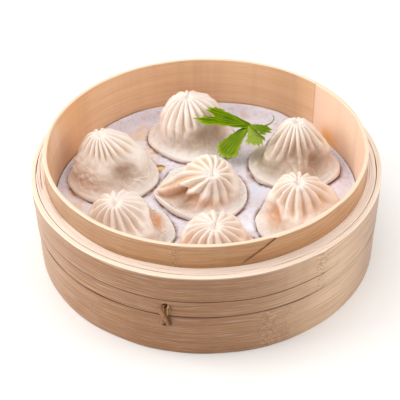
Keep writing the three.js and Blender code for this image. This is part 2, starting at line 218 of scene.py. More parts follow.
# Bamboo strip: fine fibres and slow bands that run with the grain, soft upright shades
# across it, pale cut edges and brown wrinkled scars where a joint of the cane was planed off.
# Named values of the points also lay painted light and painted shade on its sides and inside
def bambooFinish(name, grain, skin, fibre, cutEdge, rough, inside=None):
    finish, tree, surface, place = newFinish(name)
    if grain == "round":
        apart = shade(tree, "SeparateXYZ", {0: place}).outputs
        flat = shade(tree, "CombineXYZ", {0: apart[0], 1: apart[1]}).outputs[0]
        radius = shade(tree, "VectorMath", {0: flat}, operation="LENGTH").outputs["Value"]
        across = shade(tree, "Math", {0: times(tree, radius, 1.6), 1: apart[2]}).outputs[0]
        along = [times(tree, apart[k], 22.0) for k in (0, 1)]
        parts = {0: along[0], 1: along[1], 2: times(tree, across, 1500.0)}
        fine = shade(tree, "CombineXYZ", parts).outputs[0]
        slow = stretched(tree, place, 7.0, 7.0, 420.0)
        upright = stretched(tree, place, 110.0, 110.0, 9.0)
    else:
        long, thick = (22.0, 1500.0) if grain == "x" else (1500.0, 22.0)
        fine = stretched(tree, place, long, thick, 1500.0)
        slow = stretched(tree, place, long / 2.4, thick / 2.4, 160.0)
        upright = stretched(tree, place, 30.0, 30.0, 30.0)
    swirl = noise(tree, stretched(tree, place, 150.0, 150.0, 420.0), 1.0, 3.0)
    bend = times(tree, times(tree, swirl, pointValue(tree, "scar")), 3.0)
    bend = shade(tree, "CombineXYZ", {2: bend}).outputs[0]
    bentFine = shade(tree, "VectorMath", {0: fine, 1: bend}).outputs[0]
    knots = noise(tree, stretched(tree, place, 560.0, 560.0, 1300.0), 1.0, 3.0, 0.7)
    fibres = noise(tree, bentFine, 1.0, 3.0, 0.62)
    bands = noise(tree, slow, 1.0, 3.0, 0.55)
    shades = noise(tree, upright, 1.0, 2.0)
    moved = shade(tree, "VectorMath", {0: bentFine, 1: (40.0, 7.0, 3.0)}).outputs[0]
    streaks = noise(tree, moved, 1.7, 3.0, 0.7)
    colour = blend(tree, spread(tree, fibres, 0.38, 0.7, 0.0, 0.9), skin, fibre)
    colour = blend(tree, spread(tree, bands, 0.35, 0.75, 0.0, 0.45), colour, fibre)
    # Painted light: a paler tint on the flanks; painted shade: a greyer tint on the sides
    colour = laid(tree, colour, "pale", spread(tree, fibres, 0.35, 0.65, 0.85, 0.5), tint(240, 206, 172))
    colour = laid(tree, colour, "coolShade", 0.6, tint(146, 116, 94))
    colour = blend(tree, spread(tree, streaks, 0.5, 0.72, 0.0, 0.4), colour, tint(246, 222, 196))
    if inside:
        # The inside face has its own paler colour. Over it lie painted light with painted highlights, a
        # painted warm glow, painted amber shade and painted dim shade
        insideFace = blend(tree, spread(tree, bands, 0.3, 0.75, 0.0, 0.5), *inside)
        insideFace = blend(tree, spread(tree, fibres, 0.5, 0.8, 0.0, 0.45), insideFace, fibre)
        insideFace = laid(tree, insideFace, "insideLight", 0.75, tint(252, 222, 198))
        insideFace = blend(tree, pointValue(tree, "warm"), insideFace, tint(236, 172, 104))
        insideFace = blend(tree, pointValue(tree, "dim"), insideFace, tint(160, 112, 74))
        colour = blend(tree, pointValue(tree, "inside"), colour, insideFace)
    colour = blend(tree, spread(tree, shades, 0.45, 0.8, 0.0, 0.12), colour, tint(128, 84, 54))
    colour = laid(tree, colour, "scar", spread(tree, knots, 0.5, 0.6, 0.0, 0.75), tint(134, 84, 50))
    colour = laid(tree, colour, "scar", spread(tree, knots, 0.36, 0.46, 0.5, 0.0), tint(230, 198, 164))
    paleEdge = blend(tree, spread(tree, fibres, 0.45, 0.8, 0.0, 0.5), cutEdge, skin)
    colour = blend(tree, pointValue(tree, "edge"), colour, paleEdge)
    colour = laid(tree, colour, "line", 0.8, tint(112, 68, 40))
    fill(tree, surface, {
        "Base Color": colour, "Roughness": spread(tree, fibres, 0.3, 0.8, rough - 0.08, rough + 0.14),
        "Normal": relief(tree, (fibres, 0.5, 0.0003), (bands, 0.3, 0.0006)),
        "Specular IOR Level": 0.5, "Coat Weight": 0.2, "Coat Roughness": 0.3,
    })
    return finish


hoopBamboo = bambooFinish("hoopBamboo", "round", tint(164, 113, 67), tint(136, 89, 51),
                          tint(252, 234, 216), 0.42)
collarBamboo = bambooFinish("collarBamboo", "round", tint(202, 149, 99), tint(172, 119, 73),
                            tint(242, 218, 192), 0.44, inside=(tint(242, 200, 160), tint(224, 172, 124)))
fillerBamboo = bambooFinish("fillerBamboo", "round", tint(246, 224, 206), tint(214, 176, 148),
                            tint(246, 228, 214), 0.55)
slatBamboo = bambooFinish("slatBamboo", "y", tint(250, 212, 148), tint(232, 180, 112),
                          tint(240, 205, 160), 0.6)
barBamboo = bambooFinish("barBamboo", "x", tint(206, 160, 116), tint(166, 118, 78),
                         tint(230, 195, 155), 0.6)
print("bamboo finishes made")


# Outline of a band's section, clockwise from the foot of its inner side: a rectangle of
# [radius, height] with quarter circles for corners, and extra rows at the lips of a groove
def bandOutline(own):
    inner, outer, bottom, top, rub = (own[key] for key in ("inner", "outer", "bottom", "top", "rub"))
    groove = own.get("groove")
    swing = np.linspace(0, pi / 2, 5)
    rise = np.linspace(bottom + rub, top - rub, max(3, int((top - bottom) / own["step"])))[1:-1]
    width = np.linspace(inner + rub, outer - rub, 5)[1:-1]
    face = rise
    if groove:
        lips = groove + np.array([-0.55, -0.3, -0.15, 0, 0.15, 0.3, 0.55])
        face = np.sort(np.concatenate([rise[abs(rise - groove) > 0.8], lips]))
    arcIn, arcOut = rub * np.cos(swing), rub * np.sin(swing)
    radius = [inner + 0 * rise, inner + rub - arcIn, width, outer - rub + arcIn[::-1], outer + 0 * face,
              outer - rub + arcIn, width[::-1], inner + rub - arcIn[::-1]]
    height = [rise, top - rub + arcOut, top + 0 * width, top - rub + arcOut[::-1], face[::-1],
              bottom + rub - arcOut, bottom + 0 * width, bottom + rub - arcOut[::-1]]
    return np.concatenate(radius), np.concatenate(height)


# The outline carried round the upright axis through the given azimuths. Outward and inward
# shifts move the two sides, a lift moves the top, and a slip turns points round the axis.
def bandSurface(outline, azimuths, outShift=0.0, inShift=0.0, lift=0.0, slip=0.0):
    radius, height = outline[0][:, None], outline[1][:, None]
    share = (radius - radius.min()) / np.ptp(radius)
    rise = (height - height.min()) / np.ptp(height)
    angle = np.radians(azimuths[None] + slip)
    reach = radius + share * outShift + (1 - share) * inShift
    return np.stack([reach * np.cos(angle), reach * np.sin(angle), height + rise * lift + 0 * angle], -1)


# How much of a point belongs to the rubbed top edge, to the inner side, to a scar, and to the
# dark lines at the given heights
def bandValues(outline, azimuths, scars=(), lines=(), paleRim=1.0):
    radius, height = outline[0][:, None], outline[1][:, None]
    return {
        "edge": paleRim * ease(height.max() - 0.55, height.max() - 0.15, height),
        "inside": 1 - ease(radius.min() + 0.2, radius.min() + 0.8, radius),
        "scar": humps(azimuths[None], scars),
        "line": sum((bell(height - at, wide) for at, wide in lines), 0 * height),
    }


# A wavy height of the planed strip, in mm, from its azimuth and height
def planedWaves(azimuths, height, seed, deep=0.12):
    angle = np.radians(azimuths)[None] + 0 * height
    points = np.stack([100 * np.cos(angle), 100 * np.sin(angle), 1.5 * height + 0 * angle], -1)
    return deep * ripple(points, 34, seed)


# Cuts an oval hole through a piece, given its middle's radius, azimuth and height and its size
def cutHole(piece, radius, azimuth, height, size):
    bpy.ops.mesh.primitive_cylinder_add(vertices=40, radius=0.5, depth=1)
    cutter = bpy.context.object
    placed = Matrix.Rotation(radians(azimuth), 4, "Z") @ Matrix.Translation((radius * mm, 0, height * mm))
    sized = Matrix.Diagonal((*[side * mm for side in size], 1))
    cutter.matrix_world = placed @ sized @ Matrix.Rotation(pi / 2, 4, "Y")
    change = piece.modifiers.new("slot", "BOOLEAN")
    change.object, change.operation = cutter, "DIFFERENCE"
    bpy.context.view_layer.update()
    cut = bpy.data.meshes.new_from_object(piece.evaluated_get(bpy.context.evaluated_depsgraph_get()))
    piece.modifiers.clear()
    piece.data = cut
    bpy.data.objects.remove(cutter)


around = np.linspace(-180, 180, 720, endpoint=False)

collar = {
    "inner": 93.5, "outer": 96.5, "bottom": 15.0, "top": 71.3, "rub": 0.7, "step": 1.6,
    "scarfTop": -68.2, "scarfFoot": -79.8, "scarfFootHeight": 57.8,  # the slanted outer end
    "scarfStep": 0.75, "scarfReach": 38.0, "slantReach": 24.0, "slantFrom": [40, 58],
    "lap": 39.2, "lapStep": 0.8, "lapReach": 30.0,  # the upright inner end
    "scarfLine": [0.15, 0.8], "lapLine": [0.25, 0.7],  # widths and shares of the dark lines at both ends
    "scarfLineFrom": [57, 58],  # heights between which the slanted end's line comes in
    "pressed": [57.2, 60.0],  # below these heights the windings press its outside round
    # humps round it: [azimuth, width, share or height]
    "scars": [[-100.5, 1.7, 0.9]], "scarRidge": [[-100.5, 0.8, 0.08]], "raised": [[-58, 26, 0.9]],
    # Painted light and shade in these humps: a painted warm glow low on the inside at the right, painted
    # shade on the inside at the left and back right and on the outside at the front left, and painted
    # highlights on the inside at the left
    "warm": [[31, 3.4, 1.0], [26, 3.5, 0.6]], "amberShade": [[153, 10, 0.5]], "dim": [[53, 12, 0.4]],
    "coolShade": [[-150, 36, 0.9]], "insideHighlights": [[168, 3.0, 0.5], [173, 1.4, 0.3]],
    "warmUpTo": [37, 50],  # heights between which the painted warm glow fades
    "insideLight": [-75, -15],  # azimuths between which painted light comes in on the inside towards the lap
}


# The collar's strip laps itself. Outside, a slanted end stands proud of the layer below, and
# the columns near it are slipped along the slant so that the step falls between two of them.
# Inside, an upright end stands proud the same way.
def makeCollar(own):
    outline = bandOutline(own)
    lap, foot = own["lap"], own["scarfFoot"]
    ends = [lap - 0.2, lap - 0.02, lap + 0.02, lap + 0.2, foot - 0.03, foot + 0.03]
    azimuths = np.sort(np.concatenate([around, ends]))
    height = outline[1][:, None]
    share = (outline[0][:, None] - own["inner"]) / (own["outer"] - own["inner"])
    slope = (own["scarfTop"] - foot) / (own["top"] - own["scarfFootHeight"])
    away = turned(azimuths, foot)[None]
    nearScarf = bell(away, own["slantReach"]) * share
    slip = slope * (height - own["scarfFootHeight"]) * nearScarf * ease(*own["slantFrom"], height)
    outShift = own["scarfStep"] * (1 - ease(0, own["scarfReach"], away)) * (away > 0)
    outShift = outShift - own["scarfStep"] * 0.5 + planedWaves(azimuths, height, 11)
    outShift = outShift + humps(azimuths, own["scarRidge"])[None]
    outShift = outShift * ease(*own["pressed"], height)
    past = turned(azimuths, lap)[None]
    inShift = -own["lapStep"] * (1 - ease(0, own["lapReach"], -past)) * (past < 0)
    inShift = inShift + own["lapStep"] * 0.3 + planedWaves(azimuths, height, 12)
    lift = 0.3 * np.sin(np.radians(3 * azimuths + 40))[None] - 0.3 + humps(azimuths, own["raised"])[None]
    points = bandSurface(outline, azimuths, outShift, inShift, lift, slip)
    values = bandValues(outline, azimuths, own["scars"])
    values["scar"] = humps(azimuths[None] + slip, own["scars"])
    (scarfWide, scarfDark), (lapWide, lapDark) = own["scarfLine"], own["lapLine"]
    values["line"] = lapDark * bell(turned(azimuths, lap), lapWide)[None] * values["inside"]
    slantLine = scarfDark * bell(away, scarfWide) * share * ease(*own["scarfLineFrom"], height)
    values["line"] = values["line"] + slantLine
    # Painted light on the inside towards the lap with painted highlights, a painted warm glow low down, and
    # painted amber, dim and grey shade
    insideLight = ease(*own["insideLight"], turned(azimuths)) * (turned(azimuths) < lap)
    values["insideLight"] = (insideLight + humps(azimuths, own["insideHighlights"]))[None]
    paintedGlow = humps(azimuths, own["warm"])[None] * (1 - ease(*own["warmUpTo"], height))
    values["warm"] = paintedGlow + humps(azimuths, own["amberShade"])[None]
    values["dim"], values["coolShade"] = humps(azimuths, own["dim"])[None], humps(azimuths, own["coolShade"])[None]
    faces = loftFaces(*points.shape[:2], True)
    addPiece("collarStrip", points, faces, collarBamboo, ["collar_hoop"], values, crease=35)


makeCollar(collar)

# hole: the tie's opening, [along the band from the tie, height, width, height of the oval]
upperHoop = {
    "bottom": 28.6, "top": 57.1, "rub": 0.35, "seed": 21, "paleRim": 1.0,
    "groove": 39.8, "grooveDeep": 0.4, "lines": [[39.8, 0.3], [28.5, 0.5]],
    "scars": [[-54.5, 2.2, 0.9]], "scarHigh": 0.04, "hole": [0.6, 35.5, 4.6, 4.0],
}
lowerHoop = {
    "bottom": 0.0, "top": 28.48, "rub": 0.22, "seed": 22, "paleRim": 0.0,
    "groove": None, "lines": [[28.5, 0.5]],
    "scars": [[-72.5, 3.0, 0.9], [-66, 2.5, 0.5]], "scarHigh": 0.1, "hole": [0.0, 21.8, 5.4, 3.4],
}
bothHoops = {
    "inner": 102.0, "outer": 105.0, "step": 0.9,
    "fades": [-60, -44],  # azimuths between which the joints' lines fade
    "pale": [[-48, 22, 0.85], [178, 34, 0.3]], "coolShade": [[-4, 26, 1.0], [180, 34, 0.5]],  # humps of painted light and of painted shade on the flanks
}
tieAzimuth = -103.2


# A closed outer band, planed a little unevenly, with a groove round it where it has one
def makeHoop(name, node, own):
    outline = bandOutline(own)
    height = outline[1][:, None]
    ridges = [[at, wide * 0.35, 1] for at, wide, _ in own["scars"]]
    outShift = planedWaves(around, height, own["seed"]) - 0.1
    outShift = outShift + own["scarHigh"] * humps(around, ridges)[None]
    kept = 1 - 0.7 * ease(*own["fades"], around)[None]
    if own["groove"]:
        outShift = outShift - own["grooveDeep"] * kept * (abs(height - own["groove"]) < 0.2)
    lift = 0.2 * np.sin(np.radians(2 * around + 200))[None] - 0.15
    points = bandSurface(outline, around, outShift, 0.0, lift)
    values = bandValues(outline, around, own["scars"], own["lines"], own["paleRim"])
    values["line"] = values["line"] * kept
    # Painted light and painted shade on the band's flanks
    values["pale"], values["coolShade"] = humps(around, own["pale"])[None], humps(around, own["coolShade"])[None]
    faces = loftFaces(*points.shape[:2], True)
    hoop = addPiece(name, points, faces, hoopBamboo, [node], values, crease=40)
    along, middle, width, high = own["hole"]
    azimuth = tieAzimuth + np.degrees(along / own["outer"])
    cutHole(hoop, own["outer"] - 1.5, azimuth, middle, (8, width, high))


makeHoop("upperBand", "upper_outer_hoop", {**bothHoops, **upperHoop})
makeHoop("lowerBand", "lower_outer_hoop", {**bothHoops, **lowerHoop})
print("collar and outer bands made")

bothWindings = {  # ramp: degrees over which the strip steps out over itself; lead: degrees before it
    "turns": 2.015, "lead": 12.0, "ramp": 18.0, "bottom": 29.0, "rub": 0.1, "step": 4.0, "rough": 0.2,
    # The humps on the next line are painted shade on the windings' left side
    "coolShade": [[180, 50, 0.6]], "columns": 600, "tipColumns": 24,  # columns of points a turn, and past the tip
    "trough": 1.1, "waveLength": 22,  # how much lower the strip's top is cut past the tip; its uneven top
}
windings = [  # tip: where the outer end of the strip stops
    {
        "name": "innerWinding", "node": "upper_filler_inner", "tip": 196.0, "inner": 96.58, "thick": 1.23,
        "pitch": 1.27, "top": 57.2, "seed": 31, "dents": [],
    },
    {
        "name": "outerWinding", "node": "upper_filler_outer", "tip": 187.0, "inner": 99.16, "thick": 1.24,
        "pitch": 1.28, "top": 57.1, "seed": 32, "dents": [[-6, 4, -0.25]],
    },
]


# A thin strip wound twice round: its inner turn lies at one radius, steps out over a ramp at
# the strip's outer tip, and lies on itself to the tip. The top edge is uneven. The tip is
# thinned from inside by as much as the turn under it has stepped out, and runs on with its
# top cut lower, so that a short trough shows past it.
def makeWinding(own):
    lead, ramp = own["lead"] / 360, own["ramp"] / 360
    left = np.linspace(own["turns"], 0, int(own["columns"] * own["turns"]))  # turns still to go to the tip
    left = np.append(left, np.linspace(-0.0002, lead - 0.8 * (lead + ramp), own["tipColumns"]))
    azimuths = own["tip"] + 360 * left
    steppedOut, thinned = ease(-lead, ramp, 1 - left), ease(-lead, ramp, -left)
    outline = bandOutline({**own, "outer": own["inner"] + own["thick"]})
    pressed = humps(azimuths, own["dents"]) * steppedOut
    buried = 1 - ease(-lead, ramp, 2 - left)  # the inner end, thinned under the turn that steps out over it
    shift = (own["pitch"] * steppedOut + pressed)[None] * np.ones_like(outline[0])[:, None]
    angle = np.radians(azimuths)
    path = np.stack([60 * np.cos(angle), 60 * np.sin(angle), 12 * left], -1)
    lift = own["rough"] * ripple(path, own["waveLength"], own["seed"])[None] - own["rough"]
    lift = lift - own["trough"] * (left < -0.0001)[None]
    inShift, outShift = shift + own["pitch"] * thinned[None], shift - own["pitch"] * buried[None]
    points = bandSurface(outline, azimuths, outShift, inShift, lift)
    values = bandValues(outline, azimuths)
    # Painted shade on the left of the windings
    values["coolShade"] = humps(azimuths, own["coolShade"])[None]
    faces = tubeFaces(*points.shape[:2], True)
    addPiece(own["name"], points, faces, fillerBamboo, [own["node"]], values, crease=40)


for winding in windings:
    makeWinding({**bothWindings, **winding})

rattan = {
    "width": 2.5, "thick": 1.0,
    "strands": [  # [along the hoop, height, out from its face]
        [[-0.4, 34.7, -2.4], [-0.8, 34.9, 0.3], [-1.5, 33.6, 1.4], [-1.2, 31.4, 1.8], [0.2, 28.9, 2.1],
         [1.4, 25.6, 1.9], [2.0, 22.6, 1.2], [2.1, 21.4, 0.1], [2.0, 21.2, -2.2]],
        [[1.6, 35.0, -2.4], [2.0, 35.2, 0.2], [2.4, 33.6, 1.0], [1.7, 31.2, 1.0], [0.3, 28.9, 0.9],
         [-0.9, 26.0, 0.9], [-1.5, 23.4, 0.8], [-1.5, 22.2, 0.1], [-1.4, 21.8, -2.2]],
    ],
}


def rattanFinish():
    finish, tree, surface, place = newFinish("rattanSkin")
    fibres = noise(tree, stretched(tree, place, 1400.0, 1400.0, 90.0), 1.0, 3.0)
    patches = noise(tree, place, 260.0, 2.0)
    colour = blend(tree, spread(tree, fibres, 0.35, 0.7), tint(176, 124, 76), tint(100, 60, 32))
    colour = blend(tree, spread(tree, patches, 0.5, 0.8, 0.0, 0.6), colour, tint(74, 42, 22))
    fill(tree, surface, {"Base Color": colour, "Roughness": spread(tree, fibres, 0.3, 0.8, 0.38, 0.6),
                         "Normal": relief(tree, (fibres, 0.5, 0.0003))})
    return finish


# A flat strand: an oval of the given width and thickness carried along a smooth path, its
# width across the path and its thickness away from the hoop
def strandSurface(route, width, thick):
    steps = throughRows(np.array(route, float), np.linspace(0, len(route) - 1, 70))
    hoopFace = bothHoops["outer"]
    angle = radians(tieAzimuth) + steps[:, 0] / hoopFace
    radius = hoopFace + steps[:, 2]
    middle = np.stack([radius * np.cos(angle), radius * np.sin(angle), steps[:, 1]], -1)
    outward = np.stack([np.cos(angle), np.sin(angle), 0 * angle], -1)
    side, face = pathFrame(middle, outward)
    swing = np.linspace(0, 2 * pi, 20, endpoint=False)[:, None, None]
    flat = -np.sign(np.cos(swing)) * abs(np.cos(swing)) ** 0.8 * width / 2
    deep = np.sign(np.sin(swing)) * abs(np.sin(swing)) ** 0.8 * thick / 2
    return middle[None] + side[None] * flat + face[None] * deep


rattanSkin = rattanFinish()
for index, route in enumerate(rattan["strands"]):
    points = strandSurface(route, rattan["width"], rattan["thick"])
    replaced = ["rattan_tie"] if index == 0 else ()
    addPiece("tieStrand" + "AB"[index], points, tubeFaces(*points.shape[:2]), rattanSkin, replaced)
print("windings and tie made")

# Lengths in mm, azimuths in degrees. Humps are [azimuth, width, size]: lobes of the skirt, folds
# and spurs that stand out of the dome, hollows in it, and lips that curl up at the skirt's edge.
# Wrinkles are [azimuth, width, station, its width, size], stains patches of painted shade
# [azimuth, width, station, its width, share, warmth from -1, olive, a painted reflection of the
# leaf, to 1, orange], and noses the pleats, [azimuth, station where it ends, its own twist if it
# has one].
usualDumpling = {"spurs": [], "lean": [-90, 4], "fade": 1.0, "flare": 0.6}
dumplings = [
    {
        "foot": [-7, 57], "body": [-9.5, 60], "crown": [-10.9, 60.5], "top": 63.6, "dome": 20.4,
        "skirt": 26.5, "twist": 12, "cone": 0.15, "flare": 0.8, "deep": 3.0, "thin": 0.8, "fade": 1.1,
        "tan": 0.5, "pale": 1.0,
        "lobes": [[-35, 34, 5], [-95, 30, 2.5], [172, 42, 4.5]],
        "folds": [[38, 34, 4.5], [-138, 20, 1.5]], "hollows": [[-66, 30, 3.6], [-20, 26, 3]],
        "lips": [[-100, 55, 0.9]], "wrinkles": [[-60, 40, 6.6, 0.9, 0.5]],
        "shadesAndStains": [[-100, 28, 5.4, 0.8, 0.8, 0.0], [-68, 24, 5.2, 0.9, 0.9, 0.0],
                   [-26, 24, 5.2, 1.1, 0.9, -0.1]],
        "noses": [[175, 4.9], [-153, 5.1], [-133, 5.6], [-113, 5.0], [-94, 4.5], [-74, 4.1], [-52, 3.7],
                  [-27, 3.9], [-2, 4.4], [27, 4.8], [52, 4.8], [76, 4.6], [99, 4.6], [124, 4.6],
                  [150, 4.8]],
    },
    {
        "foot": [57, 25], "body": [58, 27], "crown": [57.6, 28], "top": 64, "dome": 18.2, "skirt": 27,
        "twist": 5, "cone": 0.9, "deep": 3.0, "thin": 0.9, "fade": 1.1, "tan": 0.6, "pale": 0.5,
        "lobes": [[-25, 28, 3], [-140, 34, 2.5], [172, 30, 2]],
        "folds": [[-90, 10, 4.0], [178, 36, 2.0], [-12, 16, 4]],
        "spurs": [[-84, 12, 3.0], [-160, 20, 2.5]],
        "hollows": [[-50, 19, 6.5], [-122, 20, 3], [-176, 26, 2.5]],
        "lips": [[-20, 30, 2.0], [-110, 30, 0.8], [-178, 44, 2.0]],
        "wrinkles": [[-60, 50, 6.4, 0.9, 0.6], [-170, 30, 6.4, 0.8, 0.5]],
        "shadesAndStains": [[-95, 44, 4.6, 1.6, 0.95, 0.1], [172, 38, 4.6, 1.6, 0.8, -0.8],
                   [-172, 34, 5.9, 0.8, 1.0, -0.4], [-140, 30, 6.2, 0.9, 0.8, -0.3],
                   [-50, 24, 5.5, 1.2, 1.0, -0.1], [150, 30, 7.2, 1.3, 0.7, -0.8],
                   [-118, 26, 5.9, 0.9, 0.6, 0.0]],
        "noses": [[-174, 4.3], [-150, 4.8], [-128, 4.6], [-110, 4.4], [-92, 5.3], [-72, 4.0], [-50, 4.3],
                  [-28, 4.7], [-2, 4.2], [25, 3.8], [51, 4.0], [77, 3.8], [101, 3.7], [127, 3.9],
                  [155, 3.6]],
    },
    {
        "foot": [-59, 17], "body": [-62, 20], "crown": [-65.3, 21], "top": 62.5, "dome": 20.5,
        "skirt": 28, "twist": 10, "cone": 0.5, "flare": 0.8, "deep": 2.8, "thin": 0.9, "fade": 1.2,
        "tan": 0.55, "pale": 0.25,
        "lobes": [[-10, 36, 2], [-110, 40, 0.5]], "folds": [[8, 42, 3.4], [-150, 40, 1]],
        "hollows": [[-60, 26, 3.6]], "lips": [[-90, 60, 0.4]],
        "wrinkles": [[-150, 40, 5.4, 1.1, 2.0], [-20, 34, 6.2, 1.0, 1.2]],
        "shadesAndStains": [[-55, 24, 4.6, 1.1, 1.0, 0.1], [-120, 30, 5.8, 0.9, 0.4, 0.5],
                   [170, 26, 4.6, 1.2, 0.5, 0.0]],
        "noses": [[-169, 3.5], [-144, 3.7], [-124, 3.5], [-106, 3.5], [-90, 3.6], [-74, 3.5], [-57, 3.6],
                  [-34, 3.7], [-7, 3.9], [20, 4.1], [46, 4.0], [71, 3.8], [97, 3.7], [123, 3.9],
                  [151, 3.7]],
    },
    {
        "foot": [-1, -4], "body": [1, -3.5], "crown": [3.8, -12.5], "top": 56.3, "dome": 19.5,
        "skirt": 26, "twist": 34, "cone": 0.2, "flare": 0.35, "lean": [-90, 10], "deep": 3.2,
        "thin": 1.15, "fade": 1.2, "tan": 0.6, "pale": 1.0,
        "lobes": [[175, 34, 3], [130, 30, 6], [60, 40, 2.5], [-40, 30, 1]],
        "folds": [[-178, 15, 4.0], [135, 34, -3.5]], "spurs": [[-178, 12, 7.0]],
        "hollows": [[-152, 13, 5.5], [-120, 26, 3.5]], "lips": [[-145, 46, 3.2], [-40, 30, 0.8]],
        "wrinkles": [[0, 45, 6.4, 0.9, 1.3], [150, 40, 6.6, 0.9, 1.2]],
        "shadesAndStains": [[-163, 8, 5.0, 0.8, 0.6, 1.0], [-169, 8, 6.1, 0.8, 0.75, 1.0],
                   [-138, 24, 5.9, 0.9, 1.0, 0.1], [-86, 34, 5.1, 0.7, 0.7, 0.7],
                   [-134, 26, 5.2, 0.9, 0.5, 0.3]],
        "noses": [[176, 4.9, -20], [-158, 6.5, -50], [-127, 6.2, -55], [-97, 5.9, -30], [-74, 5.8, 0],
                  [-52, 5.9, 10], [-33, 4.6, 25], [-8, 3.7], [22, 3.3], [50, 3.2], [76, 3.3], [100, 3.2],
                  [126, 3.4, 15], [152, 4.0, 0]],
    },
    {
        "foot": [56, -31], "body": [54, -25], "crown": [53, -28.5], "top": 60, "dome": 18.9,
        "skirt": 26.5, "twist": 8, "cone": 0.7, "lean": [-90, 5], "deep": 3.2, "thin": 1.1, "tan": 0.55,
        "pale": 0.8,
        "lobes": [[-150, 34, 1.5], [10, 40, 2]], "folds": [[4, 36, 5]], "hollows": [[-150, 20, 4.5]],
        "lips": [[-135, 30, 1.4], [0, 40, 0.8]], "wrinkles": [[10, 50, 6.4, 0.9, 0.6]],
        "shadesAndStains": [[-150, 17, 5.3, 0.8, 0.8, 0.9], [-168, 16, 5.9, 0.7, 0.5, 0.8],
                   [-40, 30, 4.8, 1.4, 0.3, 0.5]],
        "noses": [[-164, 4.1], [-143, 3.9], [-120, 4.6], [-95, 4.8], [-68, 4.5], [-41, 4.3], [-14, 4.4],
                  [12, 3.8], [37, 3.8], [61, 3.7], [84, 3.8], [107, 3.6], [129, 3.8], [150, 3.7],
                  [173, 3.8]],
    },
    {
        "foot": [-48, -41], "body": [-50.5, -38], "crown": [-52.1, -41.8], "top": 59, "dome": 20.5,
        "skirt": 27, "twist": 14, "cone": 0.6, "lean": [-90, 3], "deep": 3.1, "thin": 1.05, "tan": 0.2,
        "pale": 1.0,
        "lobes": [[-20, 36, 2.5], [40, 34, 2]], "folds": [[-40, 22, 1.5]], "hollows": [[5, 20, 4.6]],
        "lips": [[0, 40, 0.6]], "wrinkles": [[-10, 40, 6.6, 0.9, 1.0]],
        "shadesAndStains": [[22, 20, 6.1, 0.9, 0.9, 1.0], [40, 18, 5.6, 0.8, 0.6, 0.7],
                   [-20, 24, 6.4, 0.9, 0.4, 0.0]],
        "noses": [[-162, 4.2], [-140, 4.3], [-119, 4.5], [-100, 4.6], [-80, 4.6], [-60, 4.5], [-42, 4.3],
                  [-19, 3.8], [7, 3.6], [33, 3.6], [59, 3.7], [85, 3.7], [110, 3.8], [137, 3.7],
                  [168, 3.8]],
    },
    {
        "foot": [5, -62], "body": [4, -57.5], "crown": [4, -62], "top": 56.7, "dome": 20, "skirt": 26,
        "twist": 20, "cone": 0.35, "flare": 0.4, "deep": 3.3, "thin": 1.1, "tan": 0.5, "pale": 0.5,
        "lobes": [[0, 40, 1.5], [170, 40, 1.5]], "folds": [], "hollows": [[-15, 22, 3]],
        "lips": [[0, 40, 0.6]], "wrinkles": [[0, 60, 6.4, 0.9, 0.6]],
        "shadesAndStains": [[-160, 18, 4.6, 0.9, 0.6, 1.0], [-10, 20, 5.0, 0.8, 0.8, 0.9]],
        "noses": [[-164, 4.1], [-146, 4.0], [-124, 4.5], [-100, 4.6], [-77, 4.6], [-52, 4.5], [-28, 4.0],
                  [-5, 3.9], [22, 3.8], [47, 3.6], [73, 3.8], [98, 3.7], [124, 3.7], [152, 3.8],
                  [177, 3.8]],
    },
]
dumplings = [{**usualDumpling, **own} for own in dumplings]
doughFoot = 31.6  # height of the skirts' undersides
skirtLimit = 91.0  # how far from the basket's middle a skirt may reach
skirtApart = 0.8  # gap between two skirts
pleat = {  # half its greatest width in degrees, the share it loses at its end, how far round its end counts
    "widest": 18, "taper": 0.16, "reach": 11,
}
pit = {  # the hole in the crown, the ring round it, and a cleft that runs out of it
    "wide": 1.6, "deep": 0.8, "lip": 3.2, "lipWide": 1.3, "lipHigh": 0.35,
    "cleftAt": [80, 97, 114], "cleft": 12.0, "cleftDeep": 1.1, "cleftOut": 3.5, "cleftLong": 2.2,
}
doughSkin = {  # unevenness: [length and height in mm, seed of the first dumpling]
    "swell": [17, 0.45, 40], "dent": [6, 0.16, 60], "grain": [2.6, 0.03, 80],
    "crimp": [3.6, 0.2, 140], "crown": [3.2, 0.4, 160],
}
wormLength, wormWide, wormSeed = 11, 0.16, 120  # the raised lines of a wrinkled patch

# Stations from the crown to the foot: share of the dome's radius, share of the skirt beyond
# it, share of the height, and how far the middle has moved to the body and on to the foot
doughRows = np.array([
    [0.00, 0.00, 0.925, 0.00, 0.0],
    [0.14, 0.00, 0.950, 0.12, 0.0],
    [0.36, 0.00, 0.935, 0.35, 0.0],
    [0.67, 0.00, 0.815, 0.80, 0.0],
    [0.89, 0.00, 0.620, 1.00, 0.0],
    [1.02, 0.00, 0.380, 1.00, 0.3],
    [1.04, 0.10, 0.155, 1.00, 0.7],
    [1.02, 0.52, 0.074, 1.00, 1.0],
    [1.00, 0.93, 0.060, 1.00, 1.0],
    [1.00, 1.00, 0.031, 1.00, 1.0],
    [1.00, 0.93, 0.006, 1.00, 1.0],
    [1.00, 0.80, 0.000, 1.00, 1.0],
    [0.50, 0.20, 0.000, 1.00, 1.0],
    [0.00, 0.00, 0.000, 1.00, 1.0],
])
coneRows = {2: [0.33, 0.00, 0.925], 3: [0.58, 0.00, 0.80], 4: [0.78, 0.00, 0.62]}
flaredRows = {5: [0.98, 0.05, 0.42], 6: [1.00, 0.26, 0.23], 7: [1.00, 0.62, 0.12], 8: [1.00, 0.92, 0.072]}
doughStations = np.concatenate([np.linspace(0, 2, 34)[:-1], np.linspace(2, 6, 84)[:-1],
                                np.linspace(6, 11, 60)[:-1], np.linspace(11, 13, 7)])
doughColumns = 360


